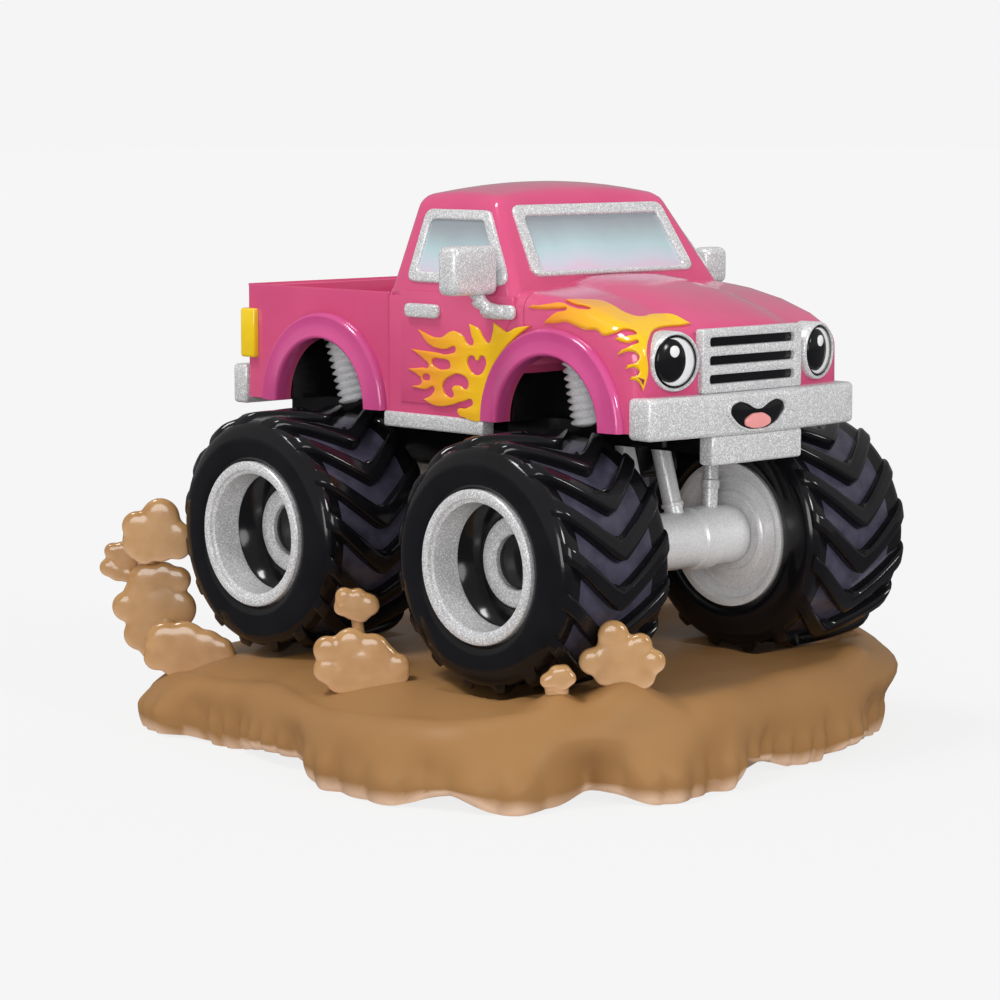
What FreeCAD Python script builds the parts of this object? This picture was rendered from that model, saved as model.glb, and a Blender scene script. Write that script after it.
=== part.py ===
import FreeCAD, Part
import Sketcher
import math
import os
import re
from FreeCAD import Rotation, Vector

# A small resin model of a pickup monster truck standing on a mound of mud.
# Millimetres. +X is forward, +Y is the truck's left, +Z is up.
# The origin is on the mound's flat underside, under the middle of the wheelbase.

doc = FreeCAD.newDocument("monster_truck")
sheet = doc.addObject("Spreadsheet::Sheet", "sizes")

# The sizes that are chosen. Most other heights and places are tied to them below.
SIZES = {
    # stance of the truck
    "wheel_base": 44.8,
    "track": 47.1,
    "hub_height": 28.0,
    "running_gap": 0.35,
    "panel_gap": 0.12,
    "overrun": 3.0,
    # tyres
    "tyre_width": 20.0,
    "tyre_radius": 15.3,
    "tyre_flats": 32,
    "lug_count": 16,
    "lug_tip_radius": 16.8,
    "lug_thickness": 2.5,
    "lug_sweep": 5.0,
    "lug_root": 1.0,
    "lug_side_inset": 0.3,
    # wheels
    "rim_radius": 10.0,
    "bead_gap": 0.04,
    "rim_flats": 24,
    "hub_flats": 20,
    "lip_inner_radius": 8.2,
    "lip_proud": 0.3,
    "dish_depth": 4.4,
    "disc_thickness": 0.9,
    "cone_depth": 2.8,
    "hub_ring_radius": 6.0,
    "hub_ring_bore_radius": 3.6,
    "hub_ring_proud": 0.4,
    "cap_recess": 0.5,
    "web_depth": 1.4,
    "back_lip_width": 1.0,
    # axles
    "axle_tube_radius": 4.0,
    "axle_band_rise": 0.3,
    "axle_band_start": 5.6,
    "axle_band_width": 3.4,
    "axle_flats": 16,
    "spindle_radius": 2.0,
    "spindle_clearance": 0.05,
    # chassis
    "ride_height": 17.0,
    "rail_clearance": 3.0,
    "rail_width": 2.6,
    "rail_height": 3.4,
    "rail_rear_inset": 3.3,
    "rail_front_inset": 2.4,
    "member_length": 3.0,
    "pan_thickness": 1.4,
    "well_reach": 4.55,
    "well_wall": 1.0,
    "well_half_length": 8.8,
    "well_depth": 9.6,
    "well_roof": 0.8,
    # shock absorbers
    "rod_radius": 1.1,
    "rod_flats": 8,
    "rod_foot_inset": 13.35,
    "rod_head_inset": 10.25,
    "coil_radius": 2.4,
    "coil_root_radius": 1.7,
    "coil_turns": 5,
    "coil_flats": 6,
    "coil_clearance": 0.1,
    "coil_foot_rise": 1.6,
    "shock_lean_front": 1.9,
    "shock_lean_rear": 4.6,
    # axle links
    "link_radius": 1.2,
    "link_y": 3.4,
    "link_lean": 3.2,
    # body
    "body_inset": 3.55,
    "side_depth": 16.9,
    "wall": 1.6,
    "rear_overhang": 16.9,
    "front_overhang": 16.2,
    "bed_drop": 0.4,
    "bed_floor_rise": 1.8,
    "tailgate_inset": 3.6,
    "tailgate_foot": 5.4,
    "tailgate_drop": 0.6,
    "cab_rear": 9.0,
    "nose_bow": 1.4,
    "nose_corner": 2.8,
    "nose_shoulder_inset": 3.4,
    "nose_wall": 3.0,
    "hood_rear": 17.2,
    "hood_front_drop": 6.4,
    "hood_mid_setback": 10.6,
    "hood_mid_drop": 2.0,
    "hood_crown": 1.3,
    "hood_panel_inset": 0.3,
    "hood_panel_fall": 1.3,
    "hood_edge_inset": 3.6,
    "shoulder_radius": 1.8,
    "cowl_x": 16.0,
    "cowl_rise": 2.1,
    # greenhouse
    "greenhouse_rise": 14.2,
    "roof_crown": 2.2,
    "roof_mid_x": 2.4,
    "head_drop": 3.1,
    "side_lean": 3.7,
    "cab_rear_head": 7.6,
    "screen_foot_x": 14.3,
    "screen_foot_drop": 0.2,
    "screen_foot_inset": 4.5,
    "screen_head_x": 8.6,
    "screen_head_inset": 5.7,
    # side glass
    "side_glass_foot_rise": 0.8,
    "side_glass_head_drop": 3.7,
    "side_glass_rear_foot": 5.6,
    "side_glass_rear_head": 4.9,
    "side_glass_front_foot": 14.4,
    "side_glass_front_head": 7.4,
    # rear glass
    "back_glass_foot_inset": 7.4,
    "back_glass_foot_rise": 1.7,
    "back_glass_head_inset": 8.6,
    "back_glass_head_drop": 4.1,
    # glass and its trim
    "trim_width": 1.35,
    "trim_proud": 0.35,
    "glass_chamfer": 0.9,
    "glass_recess": 0.25,
    "glass_thickness": 0.9,
    # doors
    "door_rear": 6.7,
    "door_foot": 1.4,
    "door_front_foot": 9.7,
    "door_front_mid_x": 10.4,
    "door_front_mid_rise": 6.0,
    "door_front_knee_x": 13.0,
    "door_front_knee_rise": 11.0,
    "door_front_belt": 15.9,
    "door_front_belt_rise": 14.0,
    "door_head_front": 8.4,
    "door_head_rear": 6.1,
    "door_head_drop": 2.7,
    # wheel arch flares
    "flare_inner_radius": 8.3,
    "flare_outer_radius": 12.8,
    "flare_bulge": 1.4,
    "flare_round": 0.6,
    "flare_flats": 14,
    "arch_radius": 8.4,
    # sills, handles, mirrors
    "sill_rear": 9.9,
    "sill_front": 9.7,
    "sill_height": 2.1,
    "sill_width": 1.9,
    "sill_proud": 0.4,
    "handle_rear": 5.8,
    "handle_length": 6.6,
    "handle_height": 1.9,
    "handle_drop": 3.9,
    "handle_proud": 0.9,
    "pad_rear": 9.4,
    "pad_length": 6.0,
    "pad_height": 1.9,
    "pad_drop": 3.3,
    "pad_proud": 0.9,
    "mirror_x": 10.9,
    "mirror_reach": 4.2,
    "mirror_rise": 3.0,
    "mirror_depth": 3.4,
    "mirror_width": 8.0,
    "mirror_tall": 6.4,
    "mirror_round": 1.1,
    "mirror_arm": 1.6,
    "mirror_arm_reach": 2.6,
    # front end
    "grille_gap": 0.35,
    "grille_proud": 0.6,
    "grille_rise": 0.3,
    "grille_thickness": 1.5,
    "slot_margin": 2.2,
    "slot_height": 1.2,
    "slot_pitch": 2.35,
    "slot_foot": 1.8,
    "slot_count": 3,
    "grille_backing": 0.8,
    "lamp_inset": 6.1,
    "lamp_rise": 4.4,
    "lamp_setback": 0.3,
    "lamp_radius": 3.85,
    "lamp_depth": 3.0,
    "lamp_bezel": 0.55,
    "lamp_toe": 10.0,
    "lamp_flats": 18,
    "bezel_proud": 0.25,
    "lens_recess": 0.25,
    "pupil_radius": 2.3,
    "pupil_shift": 0.6,
    "pupil_proud": 0.35,
    "bumper_drop": 0.8,
    "bumper_height": 5.4,
    "bumper_overhang": 0.6,
    "bumper_thickness": 2.4,
    "bumper_corner": 1.4,
    "mouth_half_width": 4.7,
    "mouth_rise": 4.2,
    "mouth_height": 3.7,
    "mouth_dip": 0.9,
    "mouth_depth": 0.7,
    "mouth_y": 0.7,
    "tongue_radius": 1.9,
    "skid_inset": 0.2,
    "skid_drop": 3.8,
    "skid_height": 3.4,
    "skid_thickness": 2.3,
    "skid_cut": 0.8,
    # rear end
    "rear_bumper_depth": 3.0,
    "rear_bumper_overhang": 0.4,
    "rear_bumper_height": 5.6,
    "rear_bumper_drop": 1.0,
    "tail_lamp_rise": 5.7,
    "tail_lamp_height": 7.0,
    "tail_lamp_length": 2.4,
    "tail_lamp_width": 2.8,
    "tail_lamp_proud": 0.8,
    # mound of mud
    "mud_sink": 1.2,
    "mud_edge": 4.2,
    "mud_lobe": 1.6,
    "mud_reach": 50.0,
    "mud_points": 40,
    "clod_points": 8,
    "rut_side_gap": 0.6,
}

# Heights and places that follow from the sizes above, so that neighbours keep together.
TIED = {
    # heights of the chassis and the body
    "mud_top": "hub_height - lug_tip_radius + mud_sink",
    "body_bottom": "hub_height + ride_height",
    "well_top": "body_bottom + well_depth",
    "coil_foot": "body_bottom + coil_foot_rise",
    "belt": "body_bottom + side_depth",
    "bed_top": "belt - bed_drop",
    "bed_floor_top": "well_top + bed_floor_rise",
    "tailgate_bottom": "body_bottom + tailgate_foot",
    "cowl_height": "belt + cowl_rise",
    "hood_mid_height": "cowl_height - hood_mid_drop",
    "hood_front_height": "cowl_height - hood_front_drop",
    "roof_height": "belt + greenhouse_rise",
    "roof_edge_height": "roof_height - roof_crown",
    "screen_foot_height": "cowl_height - screen_foot_drop",
    "screen_head_height": "roof_height - head_drop",
    "side_head_height": "roof_height - head_drop",
    "side_glass_foot_height": "belt + side_glass_foot_rise",
    "side_glass_head_height": "roof_height - side_glass_head_drop",
    "back_glass_foot_height": "belt + back_glass_foot_rise",
    "back_glass_head_height": "roof_height - back_glass_head_drop",
    "door_bottom": "body_bottom + door_foot",
    "door_front_mid_height": "body_bottom + door_front_mid_rise",
    "door_front_knee_height": "body_bottom + door_front_knee_rise",
    "door_front_belt_height": "body_bottom + door_front_belt_rise",
    "door_head_height": "roof_height - door_head_drop",
    "handle_bottom": "belt - handle_drop",
    "pad_bottom": "belt - pad_drop",
    "mirror_height": "belt + mirror_rise",
    "bumper_bottom": "body_bottom - bumper_drop",
    "mouth_top": "bumper_bottom + mouth_rise",
    "skid_bottom": "bumper_bottom - skid_drop",
    "grille_bottom": "bumper_bottom + bumper_height",
    "grille_top": "hood_front_height + grille_rise",
    "slot_first": "grille_bottom + slot_foot",
    "lamp_height": "grille_bottom + lamp_rise",
    "tail_lamp_bottom": "body_bottom + tail_lamp_rise",
    # widths
    "body_half_width": "track / 2 - body_inset",
    "well_inner": "track / 2 - tyre_width / 2 - well_reach",
    "rod_foot_y": "track / 2 - rod_foot_inset",
    "rod_head_y": "track / 2 - rod_head_inset",
    "rail_inner": "rod_foot_y - rail_clearance - rail_width",
    "tailgate_half_width": "body_half_width - tailgate_inset",
    "nose_shoulder_y": "body_half_width - nose_shoulder_inset",
    "hood_edge_y": "body_half_width - hood_edge_inset",
    "side_foot_y": "body_half_width",
    "side_head_y": "body_half_width - side_lean",
    "screen_foot_half": "body_half_width - screen_foot_inset",
    "screen_head_half": "body_half_width - screen_head_inset",
    "back_glass_half_foot": "body_half_width - back_glass_foot_inset",
    "back_glass_half_head": "body_half_width - back_glass_head_inset",
    "lamp_y": "body_half_width - lamp_inset",
    "grille_half_width": "lamp_y - lamp_radius - grille_gap",
    "slot_half_width": "grille_half_width - slot_margin",
    "hood_panel_y": "grille_half_width - hood_panel_inset",
    "skid_half_width": "grille_half_width - skid_inset",
    "bumper_half_width": "body_half_width + bumper_overhang",
    "rear_bumper_half_width": "body_half_width + rear_bumper_overhang",
    "mirror_y": "body_half_width + mirror_reach",
    "mirror_arm_y": "body_half_width + mirror_arm_reach",
    # places along the truck
    "bed_rear": "wheel_base / 2 + rear_overhang",
    "rail_rear_end": "bed_rear - rail_rear_inset",
    "nose_centre": "wheel_base / 2 + front_overhang",
    "nose_shoulder": "nose_centre - nose_bow",
    "nose_corner_x": "nose_shoulder - nose_corner",
    "nose_wall_x": "nose_centre - nose_wall",
    "rail_front_end": "nose_centre - rail_front_inset",
    "hood_mid_x": "nose_centre - hood_mid_setback",
    "grille_front": "nose_centre + grille_proud",
    "lamp_face_x": "nose_centre - lamp_setback",
}
NAMES = {**SIZES, **TIED}
for row, (name, content) in enumerate(NAMES.items(), 1):
    sheet.set(f"A{row}", name)
    sheet.set(f"B{row}", f"={content}")
    sheet.setAlias(f"B{row}", name)
doc.recompute()


def value(expression):
    """The number that an expression of sheet names has now."""
    return float(sheet.evalExpression(str(expression)))


def linked(expression):
    """The same expression as another object has to write it."""
    word = re.compile(r"[a-z][a-z0-9_]*")
    return word.sub(lambda m: "sizes." + m.group() if m.group() in NAMES else m.group(), str(expression))


S = {name: value(name) for name in NAMES}
FRONT_AXLE = S["wheel_base"] / 2
REAR_AXLE = -S["wheel_base"] / 2
AXLES = {"front": FRONT_AXLE, "rear": REAR_AXLE}
SIDES = {"right": -1, "left": 1}
AXIS_X, AXIS_Y, AXIS_Z = Vector(1, 0, 0), Vector(0, 1, 0), Vector(0, 0, 1)
TINY = 1e-6
made = []


def keep(feature, label):
    """Names a finished sub-part, so that it is checked and written."""
    feature.Label = label
    made.append(feature)
    return feature


def solid_feature(label, shape):
    """A sub-part whose shape is worked out by Part's own functions."""
    feature = doc.addObject("Part::Feature", label)
    feature.Shape = shape
    return keep(feature, label)


def origin_item(body, role):
    return next(item for item in body.Origin.OriginFeatures if item.Role == role)


def sketch_on(body, plane, offset, name):
    """An empty sketch on one of the body's own origin planes, moved along its normal."""
    sketch = body.newObject("Sketcher::SketchObject", name)
    sketch.AttachmentSupport = (origin_item(body, plane), [""])
    sketch.MapMode = "FlatFace"
    sketch.AttachmentOffset = FreeCAD.Placement(Vector(0, 0, value(offset)), Rotation())
    sketch.setExpression("AttachmentOffset.Base.z", linked(offset))
    return sketch


def bind(sketch, constraint, expression):
    index = sketch.addConstraint(constraint)
    sketch.setExpression(f"Constraints[{index}]", linked(expression))


def outline(body, plane, points, offset="0", name="outline"):
    """A closed sketch whose corners follow the sheet."""
    sketch = sketch_on(body, plane, offset, name)
    places = [Vector(value(u), value(v), 0) for u, v in points]
    count = len(places)
    for i in range(count):
        sketch.addGeometry(Part.LineSegment(places[i], places[(i + 1) % count]), False)
    for i in range(count):
        sketch.addConstraint(Sketcher.Constraint("Coincident", i, 2, (i + 1) % count, 1))
    for i, (u, v) in enumerate(points):
        bind(sketch, Sketcher.Constraint("DistanceX", -1, 1, i, 1, places[i].x), u)
        bind(sketch, Sketcher.Constraint("DistanceY", -1, 1, i, 1, places[i].y), v)
    return sketch


def pad(body, plane, points, start, end):
    """Adds an outline's prism that reaches from start to end along the plane's axis."""
    offset = f"-({end})" if plane == "XZ_Plane" else start
    sketch = outline(body, plane, points, offset, body.Label + "_outline")
    feature = body.newObject("PartDesign::Pad", body.Label + "_pad")
    feature.Profile = sketch
    feature.setExpression("Length", linked(f"({end}) - ({start})"))
    return feature


def pocket(body, plane, points, start, end):
    """Takes away an outline's prism that reaches from start to end along the plane's axis."""
    offset = f"-({start})" if plane == "XZ_Plane" else end
    sketch = outline(body, plane, points, offset, body.Label + "_cut_outline")
    feature = body.newObject("PartDesign::Pocket", body.Label + "_cut")
    feature.Profile = sketch
    feature.setExpression("Length", linked(f"({end}) - ({start})"))
    return feature


def patterned(body, feature, role, count):
    """Repeats a feature round one of the body's own axes."""
    pattern = body.newObject("PartDesign::PolarPattern", body.Label + "_pattern")
    pattern.Originals = [feature]
    pattern.Axis = (origin_item(body, role), [""])
    pattern.Angle = 360
    pattern.Occurrences = count
    body.Tip = pattern


def new_body(label, at=("0", "0", "0"), rotation=None):
    """An empty body with its own label, placed in the part's frame."""
    body = doc.addObject("PartDesign::Body", label)
    body.Placement = FreeCAD.Placement(Vector(*[value(a) for a in at]), rotation or Rotation())
    for axis, expression in zip("xyz", at):
        body.setExpression(f"Placement.Base.{axis}", linked(expression))
    return keep(body, label)


def regular(radius, flats):
    """The corners of a regular polygon round the origin."""
    count = int(flats)
    return [(f"({radius}) * cos({360 * i / count})", f"({radius}) * sin({360 * i / count})") for i in range(count)]


def rectangle(u0, u1, v0, v1):
    return [(u0, v0), (u1, v0), (u1, v1), (u0, v1)]


def block(x0, x1, y0, y1, z0, z1):
    return Part.makeBox(x1 - x0, y1 - y0, z1 - z0, Vector(x0, y0, z0))


def flat_face(points):
    return Part.Face(Part.makePolygon(points + points[:1]))


def prism(points, direction):
    return flat_face(points).extrude(direction)


def solid_of(faces):
    """A solid sewn from flat faces, its outside facing outwards."""
    shell = Part.makeShell(faces)
    shell.sewShape()
    solid = Part.makeSolid(shell)
    if solid.Volume < 0:
        solid.reverse()
    return solid


def flat_rod(start, end, radius, flats):
    """A rod with flat sides between two points."""
    along = end - start
    count = int(flats)
    turn = Rotation(AXIS_Z, along)
    corners = []
    for i in range(count):
        angle = 2 * math.pi * i / count
        corners.append(start + turn.multVec(Vector(radius * math.cos(angle), radius * math.sin(angle), 0)))
    return prism(corners, along)


def flat_turned(profile, flats, turn=360):
    """A profile of (radius, y) pairs turned about Y in flat steps."""
    count = int(flats)
    full = turn == 360

    def corner(pair, step):
        angle = math.radians(turn * (step % count if full else step) / count)
        return Vector(pair[0] * math.cos(angle), pair[1], pair[0] * math.sin(angle))

    faces = []
    for step in range(count):
        for first, second in zip(profile, profile[1:] + profile[:1]):
            corners = [corner(first, step), corner(second, step), corner(second, step + 1), corner(first, step + 1)]
            kept = [c for i, c in enumerate(corners) if not c.isEqual(corners[i - 1], TINY)]
            if len(kept) > 2:
                faces.append(flat_face(kept))
    if not full:
        faces += [flat_face([corner(pair, step) for pair in profile]) for step in (0, count)]
    return solid_of(faces)


def faceted(rings):
    """A solid through rings of points, its sides in triangles."""
    faces = []
    for low, high in zip(rings, rings[1:]):
        count = len(low)
        for i in range(count):
            j = (i + 1) % count
            faces += [flat_face([low[i], low[j], high[j]]), flat_face([low[i], high[j], high[i]])]
    faces += [flat_face(rings[0]), flat_face(rings[-1])]
    return solid_of(faces)


def fused(shapes):
    first, rest = shapes[0], shapes[1:]
    return first.multiFuse(rest).removeSplitter() if rest else first


def mirrored(shape):
    return shape.mirror(Vector(0, 0, 0), AXIS_Y)


# Wheels. Each has a lugged tyre, a deep silver rim with a raised hub ring,
# and a black dish round the ring with a black cap inside it.
DISH_FLOOR = "-tyre_width / 2 + dish_depth + cone_depth + disc_thickness"
RING_FACE = "-tyre_width / 2 + dish_depth + cone_depth - hub_ring_proud"
LUG_TIP = "sqrt(lug_tip_radius^2 - (lug_sweep / 2 + lug_thickness / 2)^2)"
CHEVRON = [
    ("-tyre_width / 2 + lug_side_inset", "lug_sweep / 2 + lug_thickness / 2"),
    ("-tyre_width / 2 + lug_side_inset", "lug_sweep / 2 - lug_thickness / 2"),
    ("0", "-lug_sweep / 2 - lug_thickness / 2"),
    ("tyre_width / 2 - lug_side_inset", "lug_sweep / 2 - lug_thickness / 2"),
    ("tyre_width / 2 - lug_side_inset", "lug_sweep / 2 + lug_thickness / 2"),
    ("0", "-lug_sweep / 2 + lug_thickness / 2"),
]


def make_tyre(label, at):
    flats = S["tyre_flats"]
    body = new_body(label, at)
    pad(body, "XZ_Plane", regular("tyre_radius", flats), "-tyre_width / 2", "tyre_width / 2")
    bore = regular("rim_radius + bead_gap", S["rim_flats"])
    pocket(body, "XZ_Plane", bore, "-tyre_width / 2 - overrun", "tyre_width / 2 + overrun")
    lug = pad(body, "YZ_Plane", CHEVRON, "tyre_radius - lug_root", LUG_TIP)
    patterned(body, lug, "Y_Axis", int(S["lug_count"]))


def make_rim(label, at, turn):
    flats, hub_flats = S["rim_flats"], S["hub_flats"]
    body = new_body(label, at, turn)
    pad(body, "XZ_Plane", regular("rim_radius", flats), "-tyre_width / 2 - lip_proud", "tyre_width / 2")
    dish = regular("lip_inner_radius", flats)
    pocket(body, "XZ_Plane", dish, "-tyre_width / 2 - lip_proud - overrun", DISH_FLOOR)
    pad(body, "XZ_Plane", regular("hub_ring_radius", hub_flats), RING_FACE, DISH_FLOOR)
    pocket(body, "XZ_Plane", regular("hub_ring_bore_radius", hub_flats), f"{RING_FACE} - overrun", DISH_FLOOR)
    back = regular("rim_radius - back_lip_width", flats)
    pocket(body, "XZ_Plane", back, "tyre_width / 2 - web_depth", "tyre_width / 2 + overrun")
    spindle_bore = regular("(spindle_radius + spindle_clearance) / cos(180 / hub_flats)", hub_flats)
    pocket(body, "XZ_Plane", spindle_bore, f"{DISH_FLOOR} - overrun", "tyre_width / 2")


def disc_shape():
    flats = S["hub_flats"]
    floor, face = value(DISH_FLOOR), value(RING_FACE)
    edge = value("-tyre_width / 2 + dish_depth")
    inner, outer = S["hub_ring_radius"] + S["bead_gap"], S["lip_inner_radius"] - S["bead_gap"]
    ring = [(inner, floor), (outer, floor), (outer, edge), (inner, edge + S["cone_depth"])]
    centre = S["hub_ring_bore_radius"] - S["bead_gap"]
    cap = [(0, floor), (centre, floor), (centre, face + S["cap_recess"]), (0, face + S["cap_recess"])]
    return Part.makeCompound([flat_turned(ring, flats), flat_turned(cap, flats)])


disc = disc_shape()
for end_name in AXLES:
    for side_name, side in SIDES.items():
        corner = f"{end_name}_{side_name}"
        along = "wheel_base / 2" if end_name == "front" else "-wheel_base / 2"
        across = "track / 2" if side > 0 else "-track / 2"
        at = (along, across, "hub_height")
        turn = Rotation(AXIS_Z, 180) if side > 0 else Rotation()
        make_tyre("tyre_" + corner, at)
        make_rim("rim_" + corner, at, turn)
        dish = solid_feature("wheel_disc_" + corner, disc)
        dish.Placement = FreeCAD.Placement(Vector(*[value(a) for a in at]), turn)

# Axles. A thick tube with a raised band each side, and a spindle at each end.
TUBE_END = "track / 2 - tyre_width / 2 + web_depth - running_gap"
SPINDLE_END = f"track / 2 - ({DISH_FLOOR}) - running_gap"


def make_axle(label, along):
    flats = S["axle_flats"]
    body = new_body(label, (along, "0", "hub_height"))
    pad(body, "XZ_Plane", regular("axle_tube_radius", flats), f"-({TUBE_END})", TUBE_END)
    band = regular("axle_tube_radius + axle_band_rise", flats)
    band_end = "axle_band_start + axle_band_width"
    pad(body, "XZ_Plane", band, "axle_band_start", band_end)
    pad(body, "XZ_Plane", band, f"-({band_end})", "-axle_band_start")
    pad(body, "XZ_Plane", regular("spindle_radius", S["hub_flats"]), f"-({SPINDLE_END})", SPINDLE_END)
    return body


axles = {"front": make_axle("front_axle", "wheel_base / 2"), "rear": make_axle("rear_axle", "-wheel_base / 2")}

# Chassis. Two rails joined by cross members, a floor pan over them that is notched
# for the wheels, and a box over each notch.
RAIL_OUTER = "rail_inner + rail_width"
FRAME_BOTTOM = "body_bottom - rail_height"
MEMBER_STARTS = [
    "-rail_rear_end",
    "-wheel_base / 2 + link_lean - member_length / 2",
    "wheel_base / 2 - link_lean - member_length / 2",
    "rail_front_end - member_length",
]
frame = new_body("chassis_frame")
for number, start in enumerate(MEMBER_STARTS):
    member = rectangle(start, f"{start} + member_length", f"-({RAIL_OUTER})", RAIL_OUTER)
    pad(frame, "XY_Plane", member, FRAME_BOTTOM, "body_bottom")
    if number == 0:
        for inner, outer in (("rail_inner", RAIL_OUTER), ("-rail_inner", f"-({RAIL_OUTER})")):
            rail = rectangle("-rail_rear_end", "rail_front_end", inner, outer)
            pad(frame, "XY_Plane", rail, FRAME_BOTTOM, "body_bottom")

SIDE_INSIDE = "body_half_width - wall"
PAN_FRONT = "nose_wall_x"
PAN_REAR = "-bed_rear + wall"
floor_pan = new_body("floor_pan")
plate = rectangle(PAN_REAR, PAN_FRONT, f"-({SIDE_INSIDE})", SIDE_INSIDE)
pad(floor_pan, "XY_Plane", plate, "body_bottom", "body_bottom + pan_thickness")
for axle in ("-wheel_base / 2", "wheel_base / 2"):
    for sign in ("-", ""):
        along = (f"{axle} - well_half_length", f"{axle} + well_half_length")
        notch = rectangle(*along, f"{sign}well_inner", f"{sign}(track / 2)")
        pocket(floor_pan, "XY_Plane", notch, "body_bottom - overrun", "body_bottom + pan_thickness")


def wheel_box(axle_x, side):
    """Two end walls, an inner wall and a roof, standing on the floor pan over one wheel."""
    low, high = S["body_bottom"] + S["pan_thickness"], S["well_top"]
    outer, inner = S["body_half_width"] - S["wall"], S["well_inner"]
    half, wall = S["well_half_length"], S["well_wall"]
    y0, y1 = sorted((side * (inner - wall), side * outer))
    shell = block(axle_x - half - wall, axle_x + half + wall, y0, y1, low, high + S["well_roof"])
    y0, y1 = sorted((side * inner, side * (outer + S["overrun"])))
    return shell.cut(block(axle_x - half, axle_x + half, y0, y1, low, high))


boxes = [wheel_box(axle_x, side) for axle_x in AXLES.values() for side in SIDES.values()]
wheel_boxes = solid_feature("wheel_boxes", Part.makeCompound(boxes))

# Shock absorbers and axle links. A rod stands on each end of the axle and leans
# up into the wheel box inside a ribbed coil, and two struts meet the frame.
ROD_OVERRUN_SHARE = 0.3
doc.recompute()


def at_height(foot, head, height):
    return foot + (head - foot) * ((height - foot.z) / (head.z - foot.z))


def standing_rod(end_name, foot, head, radius):
    """A rod that starts on the axle tube and ends level at its head."""
    reach = S["track"]
    kept = block(foot.x - reach, foot.x + reach, -reach, reach, S["hub_height"], head.z)
    beyond = (head - foot) * ROD_OVERRUN_SHARE
    whole = flat_rod(foot - beyond, head + beyond, radius, S["rod_flats"])
    return whole.common(kept).cut(axles[end_name].Shape)


def shock_line(end_name, side):
    foot = Vector(AXLES[end_name], side * S["rod_foot_y"], S["hub_height"] + S["axle_tube_radius"])
    head = Vector(AXLES[end_name] - S["shock_lean_" + end_name], side * S["rod_head_y"], S["well_top"])
    return foot, head


def coil_shape(foot, head):
    start = at_height(foot, head, S["coil_foot"])
    lean = math.sin((head - foot).getAngle(AXIS_Z))
    along = at_height(foot, head, S["well_top"] - S["panel_gap"] - S["coil_radius"] * lean) - start
    turns = int(S["coil_turns"])
    pitch = along.Length / turns
    bore = (S["rod_radius"] + S["coil_clearance"]) / math.cos(math.pi / S["coil_flats"])
    profile = [(bore, 0), (S["coil_root_radius"], 0)]
    for turn in range(turns):
        profile.append((S["coil_radius"], (turn + 1 / 2) * pitch))
        profile.append((S["coil_root_radius"], (turn + 1) * pitch))
    profile.append((bore, along.Length))
    coil = flat_turned(profile, S["coil_flats"])
    coil.Placement = FreeCAD.Placement(start, Rotation(AXIS_Y, along))
    return coil


def link_shape(end_name, side):
    towards_middle = -1 if end_name == "front" else 1
    foot = Vector(AXLES[end_name], side * S["link_y"], S["hub_height"])
    head = foot + Vector(towards_middle * S["link_lean"], 0, S["body_bottom"] - S["rail_height"] - foot.z)
    return standing_rod(end_name, foot, head, S["link_radius"])


for end_name in AXLES:
    lines = [shock_line(end_name, side) for side in SIDES.values()]
    rods = [standing_rod(end_name, foot, head, S["rod_radius"]) for foot, head in lines]
    solid_feature("shock_rods_" + end_name, Part.makeCompound(rods))
    solid_feature("coil_springs_" + end_name, Part.makeCompound([coil_shape(*line) for line in lines]))
    links = [link_shape(end_name, side) for side in SIDES.values()]
    solid_feature("axle_links_" + end_name, Part.makeCompound(links))

# Body shells. The cab is a side view and a front view cut from one another,
# and the front end is a crowned section run forward and down to a bowed nose.
# Each is hollowed by a smaller one and cut apart where the panels meet.


def screen_x(height):
    share = (height - S["screen_foot_height"]) / (S["screen_head_height"] - S["screen_foot_height"])
    return S["screen_foot_x"] + (S["screen_head_x"] - S["screen_foot_x"]) * share


def side_y(height):
    share = (height - S["belt"]) / (S["side_head_height"] - S["belt"])
    return S["side_foot_y"] + (S["side_head_y"] - S["side_foot_y"]) * share


def back_x(height):
    share = (height - S["belt"]) / (S["roof_edge_height"] - S["belt"])
    return -S["cab_rear"] + (S["cab_rear"] - S["cab_rear_head"]) * share


def arched(points, crown):
    """A face whose outline is straight through the points and closes with an arc over the crown."""
    edges = [Part.makeLine(a, b) for a, b in zip(points, points[1:])]
    edges.append(Part.Arc(points[-1], crown, points[0]).toShape())
    return Part.Face(Part.Wire(edges))


def cab_side_view(shrink):
    half = S["body_half_width"] + S["overrun"]
    edge, crown = S["roof_edge_height"] - shrink, S["roof_height"] - shrink
    low = S["body_bottom"] - (S["overrun"] if shrink else 0)
    cowl = S["cowl_height"] - shrink
    front = S["hood_rear"] - S["panel_gap"] - shrink
    points = [
        Vector(back_x(S["roof_edge_height"]) + shrink, -half, edge),
        Vector(back_x(S["belt"]) + shrink, -half, S["belt"]),
        Vector(back_x(S["belt"]) + shrink, -half, low),
        Vector(front, -half, low),
        Vector(front, -half, cowl),
        Vector(screen_x(cowl) - shrink, -half, cowl),
        Vector(screen_x(S["roof_edge_height"]) - shrink, -half, edge),
    ]
    return arched(points, Vector(S["roof_mid_x"], -half, crown)).extrude(Vector(0, 2 * half, 0))


def cab_front_view(shrink):
    rear, front = -S["bed_rear"], S["nose_centre"]
    edge, crown = S["roof_edge_height"] - shrink, S["roof_height"] - shrink
    low = S["body_bottom"] - S["overrun"]
    wide, narrow = S["side_foot_y"] - shrink, side_y(S["roof_edge_height"]) - shrink
    points = [
        Vector(rear, narrow, edge),
        Vector(rear, wide, S["belt"]),
        Vector(rear, wide, low),
        Vector(rear, -wide, low),
        Vector(rear, -wide, S["belt"]),
        Vector(rear, -narrow, edge),
    ]
    return arched(points, Vector(rear, 0, crown)).extrude(Vector(front - rear, 0, 0))


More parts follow.
